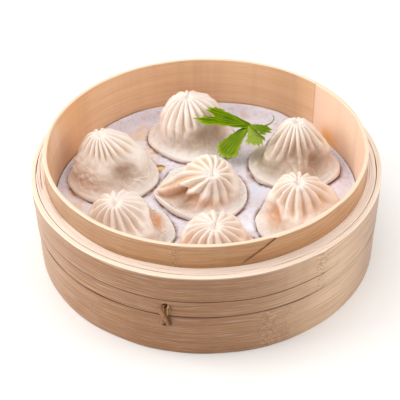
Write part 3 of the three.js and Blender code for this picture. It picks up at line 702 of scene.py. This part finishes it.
# How far the skirt may spread in each direction: to the collar, or halfway to a neighbour
def skirtRoom(own, angle):
    foot = np.array(own["foot"], float)
    ray = np.stack([np.cos(np.radians(angle)), np.sin(np.radians(angle))], -1)
    along = ray @ foot
    room = np.sqrt(along ** 2 - foot @ foot + skirtLimit ** 2) - along
    for other in dumplings:
        away = np.array(other["foot"], float) - foot
        distance = np.hypot(*away)
        if distance > 0:
            share = 0.5 + (own["skirt"] - other["skirt"]) / (2 * distance)
            toward = ray @ away / distance
            reach = (distance * share - skirtApart / 2) / np.maximum(toward, 0.1)
            room = np.where(toward > 0.1, np.minimum(room, reach), room)
    return room


# Radius of the skirt's edge about its foot: its own size and lobes, within its room
def skirtSpread(own, angle):
    return np.minimum(own["skirt"] + humps(angle, own["lobes"]), skirtRoom(own, angle) - 0.3)


# The pleats: each is a finger that widens outwards from the crown. Across it, height is a
# power of the cosine of the turn from its middle, over half the way to its neighbour. Returned
# beside it is how far the pleating still reaches at each point, from 1 down to 0.
def pleatFingers(own, angle, station, rise):
    noses = sorted(own["noses"])
    middles = np.array([nose[0] for nose in noses], float)
    gapAfter = np.diff(np.append(middles, middles[0] + 360))
    gapBefore = np.roll(gapAfter, 1)
    pick = np.random.default_rng(int(own["top"] * 10 + own["foot"][0]))
    shape = np.broadcast(angle, station).shape
    finger, weights, ends = np.zeros(shape), np.full(shape, 1e-6), np.zeros(shape)
    for index, (azimuth, end, *twist) in enumerate(noses):
        sway = pick.uniform(-2, 2)
        middle = azimuth - (twist or [own["twist"]])[0] * (rise - 0.55) + sway * (station - 3)
        away = turned(angle, middle)
        half = np.where(away > 0, gapAfter[index], gapBefore[index]) / 2
        taper = 1 - pleat["taper"] * ease(end - 1.8, end, station)
        half = np.minimum(half, pleat["widest"]) * pick.uniform(0.92, 1.0) * taper
        across = np.cos(pi / 2 * np.clip(away / half, -1, 1)) ** own["thin"]
        finger = np.maximum(finger, across * pick.uniform(0.88, 1.0))
        weight = bell(away, pleat["reach"])
        weights, ends = weights + weight, ends + weight * end
    end = ends / weights
    return finger, 1 - ease(end - own["fade"] * 0.5, end + 0.6, station)


# How much of a patch at an azimuth and a station reaches a point: exp(-(turn / width) squared
# - (stations away / its width) squared)
def patch(angle, station, at, wide, level, deep):
    return np.exp(-((turned(angle, at) / wide) ** 2) - ((station - level) / deep) ** 2)


# Dough drawn up into a pleated dome on a soft skirt with a rolled lip. A point lies at a
# radius (dome share times dome, plus skirt share of the spread beyond it) from the row's own
# middle, at a share of the height; then it moves out along the surface by the finger's
# height, by the ring round the pit, and by soft unevenness.
def doughSurface(own, index):
    profile = doughRows.copy()
    for changes, share in ((coneRows, own["cone"]), (flaredRows, own["flare"])):
        for row, changed in changes.items():
            profile[row, :3] += share * (np.array(changed) - profile[row, :3])
    rows = throughRows(profile, doughStations)
    dome, skirt, rise, toBody, toFoot = (rows[:, [k]] for k in range(5))
    skirt, rise = np.maximum(skirt, 0), np.maximum(rise, 0)
    station = doughStations[:, None]
    angle = np.linspace(-180, 180, doughColumns, endpoint=False)[None]
    tall = own["top"] - doughFoot
    shown = station < 10  # above the foot
    waist = np.sin(pi * np.clip((rise - 0.05) / 0.8, 0, 1)) * shown  # where folds stand out
    foothill = np.sin(pi * np.clip((rise - 0.02) / 0.62, 0, 1)) ** 1.5 * shown  # where hollows go in
    spur = np.sin(pi * np.clip(rise / 0.52, 0, 1)) * shown  # where spurs stand out
    hollow = humps(angle, own["hollows"])
    domeRadius = own["dome"] + humps(angle, own["folds"]) * waist
    domeRadius = domeRadius + humps(angle, own["spurs"]) * spur - hollow * foothill
    radius = dome * domeRadius + skirt * (skirtSpread(own, angle[0])[None] - own["dome"])
    middle = [own["crown"][k] + (own["body"][k] - own["crown"][k]) * toBody for k in (0, 1)]
    middle = [middle[k] + (own["foot"][k] - middle[k]) * toFoot for k in (0, 1)]
    dip = 0.35 * hollow * np.sin(pi * np.clip(skirt, 0, 1)) * shown
    height = doughFoot + np.maximum(0, tall * rise - dip)
    x, y = middle[0] + radius * np.cos(np.radians(angle)), middle[1] + radius * np.sin(np.radians(angle))
    way, lean = np.radians(own["lean"])
    ahead = (x - own["body"][0]) * cos(way) + (y - own["body"][1]) * sin(way)
    lip = humps(angle, own["lips"])
    curl = lip * (bell(station - 7.9, 0.95) + 0.4 * bell(station - 9.8, 0.8))
    points = np.stack([x, y, height - ahead * sin(lean) * ease(0.25, 0.75, rise) + curl], -1)
    down = np.gradient(points, axis=0)
    beside = np.roll(points, -1, 1) - np.roll(points, 1, 1)
    normal = np.cross(down, beside)
    normal /= np.linalg.norm(normal, axis=-1)[..., None] + 1e-9
    normal[0] = normal[-1] = 0, 0, 1
    normal[-1] *= -1
    finger, pleated = pleatFingers(own, angle, station, rise)
    reach = np.hypot(points[..., 0] - own["crown"][0], points[..., 1] - own["crown"][1])
    depth = np.minimum(own["deep"], 0.22 * radius) * ease(0.5, 7, reach)
    out = pleated * (depth * (finger - 1) + 0.8 * ease(1, 6, reach))
    crownZone = (station < 7.9) * (reach < 12)
    rippled = {}
    for kind, (length, high, seed) in doughSkin.items():
        rippled[kind] = high * ripple(points, length, seed + index)
    out = out + crownZone * rippled["crown"] * bell(reach, 4.5)
    ring = pit["lipHigh"] * bell(reach - pit["lip"], pit["lipWide"])
    out = out + crownZone * (ring - pit["deep"] * bell(reach, pit["wide"]))
    aside = turned(angle, pit["cleftAt"][index % 3]) / pit["cleft"]
    along = (reach - pit["cleftOut"]) / pit["cleftLong"]
    out = out - crownZone * pit["cleftDeep"] * np.exp(-(aside ** 2) - along ** 2)
    soft = ease(2.5, 4.5, station) * (1 - ease(9.5, 10.5, station))
    inRim = 1 - 0.75 * ease(6.8, 7.8, station)
    out = out + soft * (rippled["swell"] + inRim * rippled["dent"])
    out = out + inRim * rippled["grain"] * (1 - ease(9.5, 10.5, station))
    crimp = 0 * out
    for *where, high in own["wrinkles"]:
        crimp = crimp + high * patch(angle, station, *where)
    worm = bell(ripple(points * [1, 1, 1.4], wormLength, wormSeed + index), wormWide)
    out = out + crimp * inRim * (0.5 * worm + rippled["crimp"])
    points = points + normal * out[..., None]
    points[..., 2] = np.maximum(points[..., 2], doughFoot)
    # Patches of painted shade, grey-brown to orange, and olive as a painted reflection of the leaf
    shadeAndStain, warmth = 0 * out, 0 * out
    for *where, share, warm in own["shadesAndStains"]:
        spot = share * patch(angle, station, *where)
        shadeAndStain, warmth = np.maximum(shadeAndStain, spot), warmth + spot * warm
    warmth = np.clip(warmth, -shadeAndStain, shadeAndStain)
    # Painted highlights on the wrinkles' raised crests and along the rolled lip, as strong as the pale value
    lipHighlight = 0.85 * own["pale"] * bell(station - 8.0, 1.2)
    values = {
        "valley": own["tan"] * pleated * (1 - finger) * ease(1.2, 5, reach),
        "low": ease(3.6, 6.4, station),
        "skirt": own["pale"] * ease(5.4, 7.2, station),
        "crestHighlight": np.maximum(np.clip(crimp, 0, 1) * worm, lipHighlight),
        # painted shade in the hollows at the dome's foot
        "hollow": np.clip(hollow / 4, 0, 1) * ease(3.8, 5.0, station) * (1 - ease(6.0, 7.4, station)),
        # painted shade at the crown
        "crown": 1 - ease(5, 14, reach),
        "shadeAndStain": shadeAndStain,
        "warmth": warmth / (shadeAndStain + 1e-6),
    }
    return points, values


# Steamed dough: ivory ridges, deeper tan in the valleys where the thin dough shows the filling,
# a greyer wet skirt, and a moist sheen that comes and goes. Painted shade lies in the hollows,
# in patches and at the crown, and painted highlights on the crests and lips
def doughFinish():
    finish, tree, surface, place = newFinish("steamedDough")
    cloud = noise(tree, place, 90.0, 3.0)
    fleck = noise(tree, place, 420.0, 3.0, 0.6)
    grainy = noise(tree, place, 1500.0, 2.0)
    colour = blend(tree, spread(tree, cloud, 0.35, 0.7), tint(243, 233, 225), tint(239, 226, 216))
    colour = laid(tree, colour, "low", spread(tree, fleck, 0.42, 0.7, 0.0, 0.6), tint(222, 200, 182))
    colour = laid(tree, colour, "low", spread(tree, cloud, 0.3, 0.65, 0.4, 0.9), tint(227, 209, 197))
    valley = spread(tree, pointValue(tree, "valley"), 0.15, 0.75)
    valley = times(tree, valley, spread(tree, fleck, 0.25, 0.7, 0.75, 1.0))
    colour = blend(tree, valley, colour, tint(221, 182, 136))
    colour = laid(tree, colour, "skirt", spread(tree, cloud, 0.3, 0.7, 0.6, 1.0), tint(222, 214, 213))
    # Painted shade in the hollows at the dome's foot
    colour = laid(tree, colour, "hollow", spread(tree, fleck, 0.3, 0.7, 0.7, 1.0), tint(208, 182, 162))
    warmth = pointValue(tree, "warmth")
    # Patches of painted shade: grey-brown, orange, and olive as a painted reflection of the leaf
    shadeTint = blend(tree, spread(tree, warmth, 0.0, 1.0), tint(176, 148, 126), tint(214, 140, 74))
    shadeTint = blend(tree, spread(tree, warmth, -1.0, 0.0, 1.0, 0.0), shadeTint, tint(132, 118, 72))
    colour = laid(tree, colour, "shadeAndStain", spread(tree, fleck, 0.25, 0.7, 0.7, 1.0), shadeTint)
    # Painted highlights on the crests and lips, and painted shade at the crown
    colour = laid(tree, colour, "crestHighlight", 0.8, tint(244, 234, 224))
    colour = laid(tree, colour, "crown", 0.8, tint(236, 224, 216))
    wetAndContactShade = times(tree, pointValue(tree, "skirt"), spread(tree, fleck, 0.4, 0.65))
    fill(tree, surface, {
        "Base Color": colour, "Roughness": spread(tree, wetAndContactShade, 0.0, 1.0, 0.4, 0.14),
        "Normal": relief(tree, (cloud, 0.2, 0.0012), (fleck, 0.24, 0.0004), (grainy, 0.12, 0.0001)),
        "Subsurface Weight": 0.35, "Subsurface Radius": (1.0, 0.68, 0.48), "Subsurface Scale": 0.0024,
        "Specular IOR Level": 0.4, "Coat Weight": spread(tree, wetAndContactShade, 0.0, 1.0, 0.2, 0.6),
        "Coat Roughness": 0.14,
    })
    return finish


# The first and last rows shrink to one point each, with a fan of triangles round it
def makeDumpling(own, index, finish):
    points, values = doughSurface(own, index)
    rows, columns = points.shape[:2]
    kept = slice(columns - 1, 1 - columns)
    flat = points.reshape(-1, 3)[kept]
    for label, value in values.items():
        values[label] = np.broadcast_to(value, (rows, columns)).ravel()[kept]
    ring, last = np.arange(columns), len(flat) - 1
    after = (ring + 1) % columns
    top = np.stack([0 * ring, ring + 1, after + 1], -1)
    foot = np.stack([0 * ring + last, last - columns + after, last - columns + ring], -1)
    faces = (loftFaces(rows - 2, columns) + 1).tolist() + top.tolist() + foot.tolist()
    number = str(index + 1)
    addPiece("dumpling" + number, flat, faces, finish, ["dumpling_" + number], values)


steamedDough = doughFinish()
for index, own in enumerate(dumplings):
    makeDumpling(own, index, steamedDough)
print("dumplings made")

liner = {
    "edge": 93.0, "top": 31.3, "thick": 0.35, "cells": 196,
    "turn": [86.0, 91.0], "lift": 6.2, "frontLift": 0.3, "back": [38, 58, 132, 150],
    "waves": 7, "ripple": 0.5, "pitch": 16.6, "turned": -10.3, "start": [-7.4, 7.6], "reach": 84.0,
    # The width of the painted contact shadow round each skirt is on the next line
    "dimple": 2.0, "pressed": 0.36, "contactShadeWide": 1.6,
    "shadesAndStains": [  # [x, y, width, share]
        [-28.8, 25.0, 3.6, 1.0], [-44.0, 62.0, 6.0, 0.75], [-36.0, 44.0, 4.5, 0.8], [-41.0, 71.0, 4.0, 0.5],
        [-34, 35, 3, 0.4], [-72, -24, 5, 0.6], [-82, 0, 4, 0.6], [-78, -12, 5, 0.5], [-22, -44, 4, 0.3],
        [-33, 2, 4, 0.3],
    ],
    "open": [-28.9, 25.6, 2.7],  # x, y and radius of the perforation that has come right out
    # Patches of painted light: the paper painted paler, bluish-white
    "litPatch": [
        [33.0, 0.0, 7.5, 0.8], [40.0, -9.0, 5.0, 0.6], [29.5, -26.0, 5.0, 0.8], [26.5, -36.0, 5.0, 1.0],
    ],
    "creases": [  # [x, y, direction, half length, half width, height]
        [37.0, -6.0, 60, 14, 2.2, 2.6], [28.0, -38.0, 80, 12, 2.0, 2.4], [-30.0, 30.0, 40, 16, 1.4, 0.7],
        [-20.0, -24.0, -30, 14, 1.2, 0.7],
    ],
}


# Perforations on a triangular grid
def holeMiddles(own):
    line, step = (part.ravel() for part in np.meshgrid(np.arange(-12, 13), np.arange(-12, 13), indexing="ij"))
    x, y = own["pitch"] * (step + line / 2), own["pitch"] * line * sin(pi / 3)
    swing = radians(own["turned"])
    holes = np.stack([own["start"][0] + x * cos(swing) - y * sin(swing),
                      own["start"][1] + x * sin(swing) + y * cos(swing)], -1)
    return holes[np.hypot(*holes.T) < own["reach"]]


# A square grid of (u, v) from -1 to 1 bent to a disc: x = u sqrt(1 - v v / 2), and y likewise.
# It lies flat, turns up at the collar, most at the back, and is crumpled between the dumplings.
def linerSurface(own):
    u, v = np.meshgrid(*[np.linspace(-1, 1, own["cells"] + 1)] * 2, indexing="ij")
    x, y = own["edge"] * u * np.sqrt(1 - v * v / 2), own["edge"] * v * np.sqrt(1 - u * u / 2)
    radius, azimuth = np.hypot(x, y), np.degrees(np.arctan2(y, x))
    rises, full, fades, ends = own["back"]
    back = ease(rises, full, azimuth) * (1 - ease(fades, ends, azimuth))
    start = own["turn"][1] + (own["turn"][0] - 1 - own["turn"][1]) * back
    climb = own["lift"] * (own["frontLift"] + (1 - own["frontLift"]) * back)
    waves = own["ripple"] * np.sin(own["waves"] * np.radians(azimuth))
    height = (climb + waves) * ease(start, own["edge"], radius)
    clear = [np.hypot(x - one["foot"][0], y - one["foot"][1]) - one["skirt"] for one in dumplings]
    free = ease(-2, 6, np.min(clear, axis=0)) * (1 - ease(82, 88, radius))
    spots = np.stack([x, y, 0 * x], -1)
    height = height + free * (0.45 * abs(ripple(spots, 15, 91)) + 0.14 * ripple(spots, 4.5, 92))
    for atX, atY, way, long, wide, high in own["creases"]:
        along = (x - atX) * cos(radians(way)) + (y - atY) * sin(radians(way))
        aside = -(x - atX) * sin(radians(way)) + (y - atY) * cos(radians(way))
        height = height + free * high * np.exp(-abs(aside / wide) ** 1.3 - (along / long) ** 4)
    holes = holeMiddles(own)
    away = np.hypot(x[..., None] - holes[:, 0], y[..., None] - holes[:, 1]).min(-1)
    near = np.exp(-((away / own["dimple"]) ** 4))
    return np.stack([x, y, own["top"] + height * (1 - near) - own["pressed"] * near], -1)


def paperFinish():
    finish, tree, surface, place = newFinish("dampPaper")
    fibres = noise(tree, stretched(tree, place, 640.0, 760.0, 640.0), 1.0, 4.0, 0.65)
    cloud = noise(tree, place, 55.0, 3.0)
    pulp = noise(tree, place, 1700.0, 2.0)
    colour = blend(tree, spread(tree, cloud, 0.35, 0.7), tint(238, 233, 244), tint(232, 221, 230))
    colour = blend(tree, spread(tree, fibres, 0.45, 0.75, 0.0, 0.5), colour, tint(212, 194, 204))
    mottle = noise(tree, place, 330.0, 3.0, 0.6)
    colour = blend(tree, spread(tree, mottle, 0.5, 0.72, 0.0, 0.5), colour, tint(206, 186, 200))
    shadeAndStain = spread(tree, noise(tree, place, 130.0, 3.0), 0.56, 0.74, 0.0, 0.45)
    colour = blend(tree, shadeAndStain, colour, tint(226, 180, 148))
    # Painted light patches
    colour = blend(tree, pointValue(tree, "litPatch"), colour, tint(238, 240, 252))
    blot = spread(tree, noise(tree, place, 260.0, 3.0), 0.3, 0.6, 0.35, 1.0)
    colour = laid(tree, colour, "shadeAndStain", blot, tint(240, 192, 122))
    # Painted contact shadow where each skirt meets the paper
    colour = laid(tree, colour, "wetAndContactShade", blot, tint(140, 84, 52))
    oiled = spread(tree, pointValue(tree, "shadeAndStain"), 0.0, 1.0, 1.0, 0.35)
    fill(tree, surface, {
        "Base Color": colour, "Roughness": times(tree, spread(tree, cloud, 0.3, 0.7, 0.55, 0.75), oiled),
        "Normal": relief(tree, (fibres, 0.35, 0.0003), (pulp, 0.2, 0.0001)),
        "Subsurface Weight": 0.15, "Subsurface Radius": (1.0, 0.6, 0.5), "Subsurface Scale": 0.002,
    })
    return finish


# Yellow broth stains at named places and at the perforations, painted light spots, and a brown
# painted contact shadow where each skirt meets the paper: all fall off as exp(-(distance / width) squared)
def linerValues(own, points):
    def spots(places):
        return sum(share * bell(np.hypot(points[:, 0] - x, points[:, 1] - y), wide)
                   for x, y, wide, share in places)

    clear = []
    for one in dumplings:
        x, y = points[:, 0] - one["foot"][0], points[:, 1] - one["foot"][1]
        clear.append(abs(np.hypot(x, y) - skirtSpread(one, np.degrees(np.arctan2(y, x)))))
    # painted contact shadow round each skirt's edge
    wetAndContactShade = bell(np.min(clear, axis=0), own["contactShadeWide"])
    holes = holeMiddles(own)
    away = np.hypot(points[:, None, 0] - holes[:, 0], points[:, None, 1] - holes[:, 1]).min(1)
    shadeAndStain = spots(own["shadesAndStains"]) + 0.4 * bell(away, 1.1)
    return {"shadeAndStain": np.minimum(shadeAndStain, 1), "litPatch": np.minimum(spots(own["litPatch"]), 1), "wetAndContactShade": wetAndContactShade}


# The punched scraps still lie in their holes, but for one, where the slat below shows
def makeLiner(own):
    points = linerSurface(own)
    side = points.shape[0]
    flat = points.reshape(-1, 3)
    faces = loftFaces(side, side, False, False)
    x, y, radius = own["open"]
    fromHole = flat[:, :2] - [x, y]
    distance = np.hypot(*fromHole.T)
    cut = (distance[faces] < radius).any(1)
    rim = np.zeros(len(flat), bool)
    rim[faces[cut]] = True
    rim &= distance >= radius
    flat[rim, :2] = [x, y] + fromHole[rim] * (radius / distance[rim])[:, None]
    kept = faces[~cut]
    used = np.unique(kept)
    place = np.zeros(len(flat), int)
    place[used] = np.arange(len(used))
    values = linerValues(own, flat)
    sheet = addPiece("linerSheet", flat[used], place[kept], paperFinish(), ["paper_liner"],
                     {label: value[used] for label, value in values.items()})
    thicken(sheet, own["thick"])


makeLiner(liner)
print("liner made")

leafJoint = [29, 39.5, 53]
leafThick, leafNeck = 0.4, 0.9
leaflets = [  # edge: [side from -1 to 1, reach] of each tooth's tip and each notch
    {
        "tip": [-5, 48, 59.6], "half": 6.9, "roll": -0.36, "arch": 0.4, "young": 0.0, "spread": 0.6,
        "edge": [[-1, 0.56], [-0.97, 0.76], [-0.9, 0.68], [-0.8, 0.87], [-0.62, 0.8], [-0.5, 0.88],
                 [-0.25, 0.76], [0.1, 0.68], [0.28, 0.9], [0.4, 0.88], [0.72, 1.07], [0.8, 0.93],
                 [0.9, 0.92], [0.95, 0.84], [1, 0.8]],
    },
    {
        "tip": [8.8, 26, 37.9], "half": 8.4, "roll": -0.05, "arch": 1.5, "young": 0.12, "spread": 0.85,
        "edge": [[-1, 0.74], [-0.84, 0.9], [-0.72, 0.84], [-0.5, 0.97], [-0.38, 0.9], [-0.12, 1.0],
                 [0.02, 0.9], [0.24, 0.98], [0.38, 0.87], [0.6, 0.93], [0.74, 0.8], [0.9, 0.84], [1, 0.66]],
    },
    {
        "tip": [34, 22.5, 47.6], "half": 6.4, "roll": 0.0, "arch": 0.6, "young": 0.85, "spread": 0.85,
        "edge": [[-1, 0.6], [-0.8, 0.8], [-0.66, 0.7], [-0.34, 0.95], [-0.16, 0.84], [0.08, 1.0],
                 [0.26, 0.84], [0.5, 0.92], [0.66, 0.72], [0.86, 0.78], [1, 0.58]],
    },
    {
        "tip": [43.3, 30.8, 53.9], "half": 4.6, "roll": 0.15, "arch": 0.8, "young": 0.12, "spread": 0.85,
        "edge": [[-1, 0.6], [-0.7, 0.86], [-0.5, 0.74], [-0.1, 1.0], [0.14, 0.84], [0.5, 0.94],
                 [0.7, 0.76], [1, 0.64]],
    },
]
tendril = {
    "radius": 0.45,
    "route": [[29.5, 39.2, 53.2], [34.5, 37.5, 53.4], [40.5, 38.2, 54.4], [43.9, 40.0, 55.8],
              [44.5, 42.0, 57.6], [43.6, 42.8, 58.8]],
}


# A leaflet over (out, side): out runs from the joint to the toothed edge, whose reach comes
# from the list of tips and notches; width grows with out; the blade bows along its midrib,
# droops at its sides, and is raised along veins that fan out to the tips.
def leafSurface(own, seed):
    out, side = np.meshgrid(np.linspace(0, 1, 64), np.linspace(1, -1, 73), indexing="ij")
    base = np.array(leafJoint, float)
    along = np.array(own["tip"], float) - base
    across = np.array([-along[1], along[0], 0]) / np.hypot(along[0], along[1])
    edge = np.array(own["edge"])
    reach = np.interp(side, edge[:, 0], edge[:, 1])
    tips = edge[1:-1:2, 0]
    stretch = out * (1 + (reach - 1) * out ** 1.5) - 0.03
    width = side * (leafNeck + (own["half"] - leafNeck) * out ** own["spread"])
    width = width * (1 + 0.05 * np.sin(26 * out) * abs(side) ** 3)
    veins = bell(side[..., None] - tips * ease(0, 0.5, out)[..., None], 0.045).max(-1)
    bow = own["arch"] * np.sin(pi * out) - 0.6 * abs(side) * out + own["roll"] * width
    points = base + along * stretch[..., None] + across * width[..., None]
    points[..., 2] += bow + 0.22 * ripple(points, 7, seed) * out - 0.22 * veins * out * (1 - out) * 2
    rim = np.maximum(ease(0.9, 1.0, out), ease(0.9, 1.0, abs(side)))
    return points, {"vein": veins * ease(0.03, 0.2, out), "rim": rim, "young": own["young"] + 0 * out}


def leafFinish():
    finish, tree, surface, place = newFinish("celeryLeaf")
    cloud = noise(tree, place, 160.0, 3.0)
    cells = shade(tree, "TexVoronoi", {"Vector": place, "Scale": 900.0}, feature="DISTANCE_TO_EDGE")
    cells = cells.outputs["Distance"]
    colour = blend(tree, spread(tree, cloud, 0.35, 0.7), tint(78, 108, 0), tint(104, 130, 0))
    colour = laid(tree, colour, "young", 0.85, tint(168, 184, 84))
    colour = blend(tree, spread(tree, cells, 0.0, 0.12, 0.4, 0.0), colour, tint(62, 92, 0))
    colour = laid(tree, colour, "vein", 0.55, tint(146, 170, 24))
    colour = laid(tree, colour, "rim", 0.6, tint(176, 194, 40))
    fill(tree, surface, {
        "Base Color": colour, "Roughness": spread(tree, cloud, 0.3, 0.7, 0.36, 0.55),
        "Normal": relief(tree, (cells, 0.4, 0.0004), (cloud, 0.2, 0.0006)),
        "Subsurface Weight": 0.12, "Subsurface Radius": (0.5, 1.0, 0.1), "Subsurface Scale": 0.0012,
        "Specular IOR Level": 0.03,
    })
    return finish


# A round shoot: a circle, smaller towards the tip, carried along a smooth path
def shootSurface(own):
    steps = throughRows(np.array(own["route"], float), np.linspace(0, len(own["route"]) - 1, 60))
    side, face = pathFrame(steps, [0, 0, 1.0])
    swing = np.linspace(0, 2 * pi, 16, endpoint=False)[:, None, None]
    girth = (own["radius"] * (1.15 - 0.75 * np.linspace(0, 1, 60) ** 2))[None, :, None]
    return steps[None] - girth * np.cos(swing) * side[None] + girth * np.sin(swing) * face[None]


celeryLeaf = leafFinish()
for index, own in enumerate(leaflets):
    points, values = leafSurface(own, 100 + index)
    faces = loftFaces(*points.shape[:2], False, False)[:, ::-1]
    replaced = ["herb_sprig"] if index == 0 else ()
    blade = addPiece("leaflet" + "ABCD"[index], points, faces, celeryLeaf, replaced, values)
    thicken(blade, leafThick)
points = shootSurface(tendril)
shootValues = {"young": 0.5, "vein": 0.3, "rim": 0.0}
addPiece("shoot", points, tubeFaces(*points.shape[:2]), celeryLeaf, (), shootValues)
print("herb made")

# The slats, bars and lining keep the frame's own shapes; slats and bars get rounded arrises
carried = {"floor_slat": slatBamboo, "cross_bar": barBamboo, "lower_lining": hoopBamboo}
for name, node in nodes.items():
    finish = carried.get("_".join(name.split("_")[:2]))
    if finish:
        node.data.materials.clear()
        node.data.materials.append(finish)
    if finish in (slatBamboo, barBamboo):
        arris = node.modifiers.new("arris", "BEVEL")
        arris.width, arris.segments, arris.limit_method = 0.4 * mm, 2, "ANGLE"
print("slats, bars and lining dressed")

studio = {
    "skyColour": (1.0, 0.985, 0.965, 1), "sky": 0.52,
    "lights": [  # name, place, aim, size, watts, colour (metres)
        ["overhead", (0.0, 0.07, 0.9), (0, 0.0, 0.03), (1.1, 0.9), 4.7, (1.0, 0.99, 0.97)],
        ["leftSoft", (-0.75, 0.0, 0.36), (0, 0, 0.03), (0.7, 0.6), 5.4, (1.0, 0.98, 0.95)],
        ["rightSoft", (0.75, -0.05, 0.26), (0, 0, 0.03), (0.7, 0.5), 2.4, (1.0, 0.98, 0.95)],
    ],
}


def lightStudio(own):
    world = bpy.data.worlds.new("studioSky")
    world.use_nodes = True
    bpy.context.scene.world = world
    sky = world.node_tree.nodes["Background"]
    sky.inputs["Color"].default_value = own["skyColour"]
    sky.inputs["Strength"].default_value = own["sky"]
    for name, place, aim, size, watts, colour in own["lights"]:
        lamp = bpy.data.lights.new(name, "AREA")
        lamp.shape, lamp.size, lamp.size_y = "RECTANGLE", *size
        lamp.energy, lamp.color = watts, colour
        holder = bpy.data.objects.new(name, lamp)
        away = np.array(place) - np.array(aim)
        away /= np.linalg.norm(away)
        side = np.cross([0, 1, 0.001], away)
        side /= np.linalg.norm(side)
        standAt(holder, side, np.cross(away, side), away, place)


def layFloor():
    bpy.ops.mesh.primitive_plane_add(size=4, location=(0, 0, -0.0002))
    floor = bpy.context.object
    floor.name = "studioFloor"
    finish, tree, surface, place = newFinish("palePaint")
    colour = blend(tree, noise(tree, place, 3.0), tint(250, 250, 250), tint(253, 253, 253))
    fill(tree, surface, {"Base Color": colour, "Roughness": 0.9, "Specular IOR Level": 0.1})
    floor.data.materials.append(finish)


eye = {"place": [-3.970, -435.387, 376.166], "down": 38.921, "roll": -1.3057, "lens": 80.352}  # mm, degrees


def setCamera(own):
    ahead = np.array([0, cos(radians(own["down"])), -sin(radians(own["down"]))])
    right = np.array([1.0, 0, 0])
    up = np.cross(right, ahead)
    turn = radians(own["roll"])
    across, above = cos(turn) * right + sin(turn) * up, cos(turn) * up - sin(turn) * right
    lens = bpy.data.cameras.new("eye")
    lens.lens, lens.sensor_width, lens.sensor_fit = own["lens"], 36, "HORIZONTAL"
    lens.clip_start, lens.clip_end = 0.02, 20
    holder = bpy.data.objects.new("eye", lens)
    standAt(holder, across, above, -ahead, np.array(own["place"]) * mm)
    bpy.context.scene.camera = holder


lightStudio(studio)
layFloor()
setCamera(eye)
bpy.context.scene.view_settings.view_transform = "Standard"
print("studio and camera set")
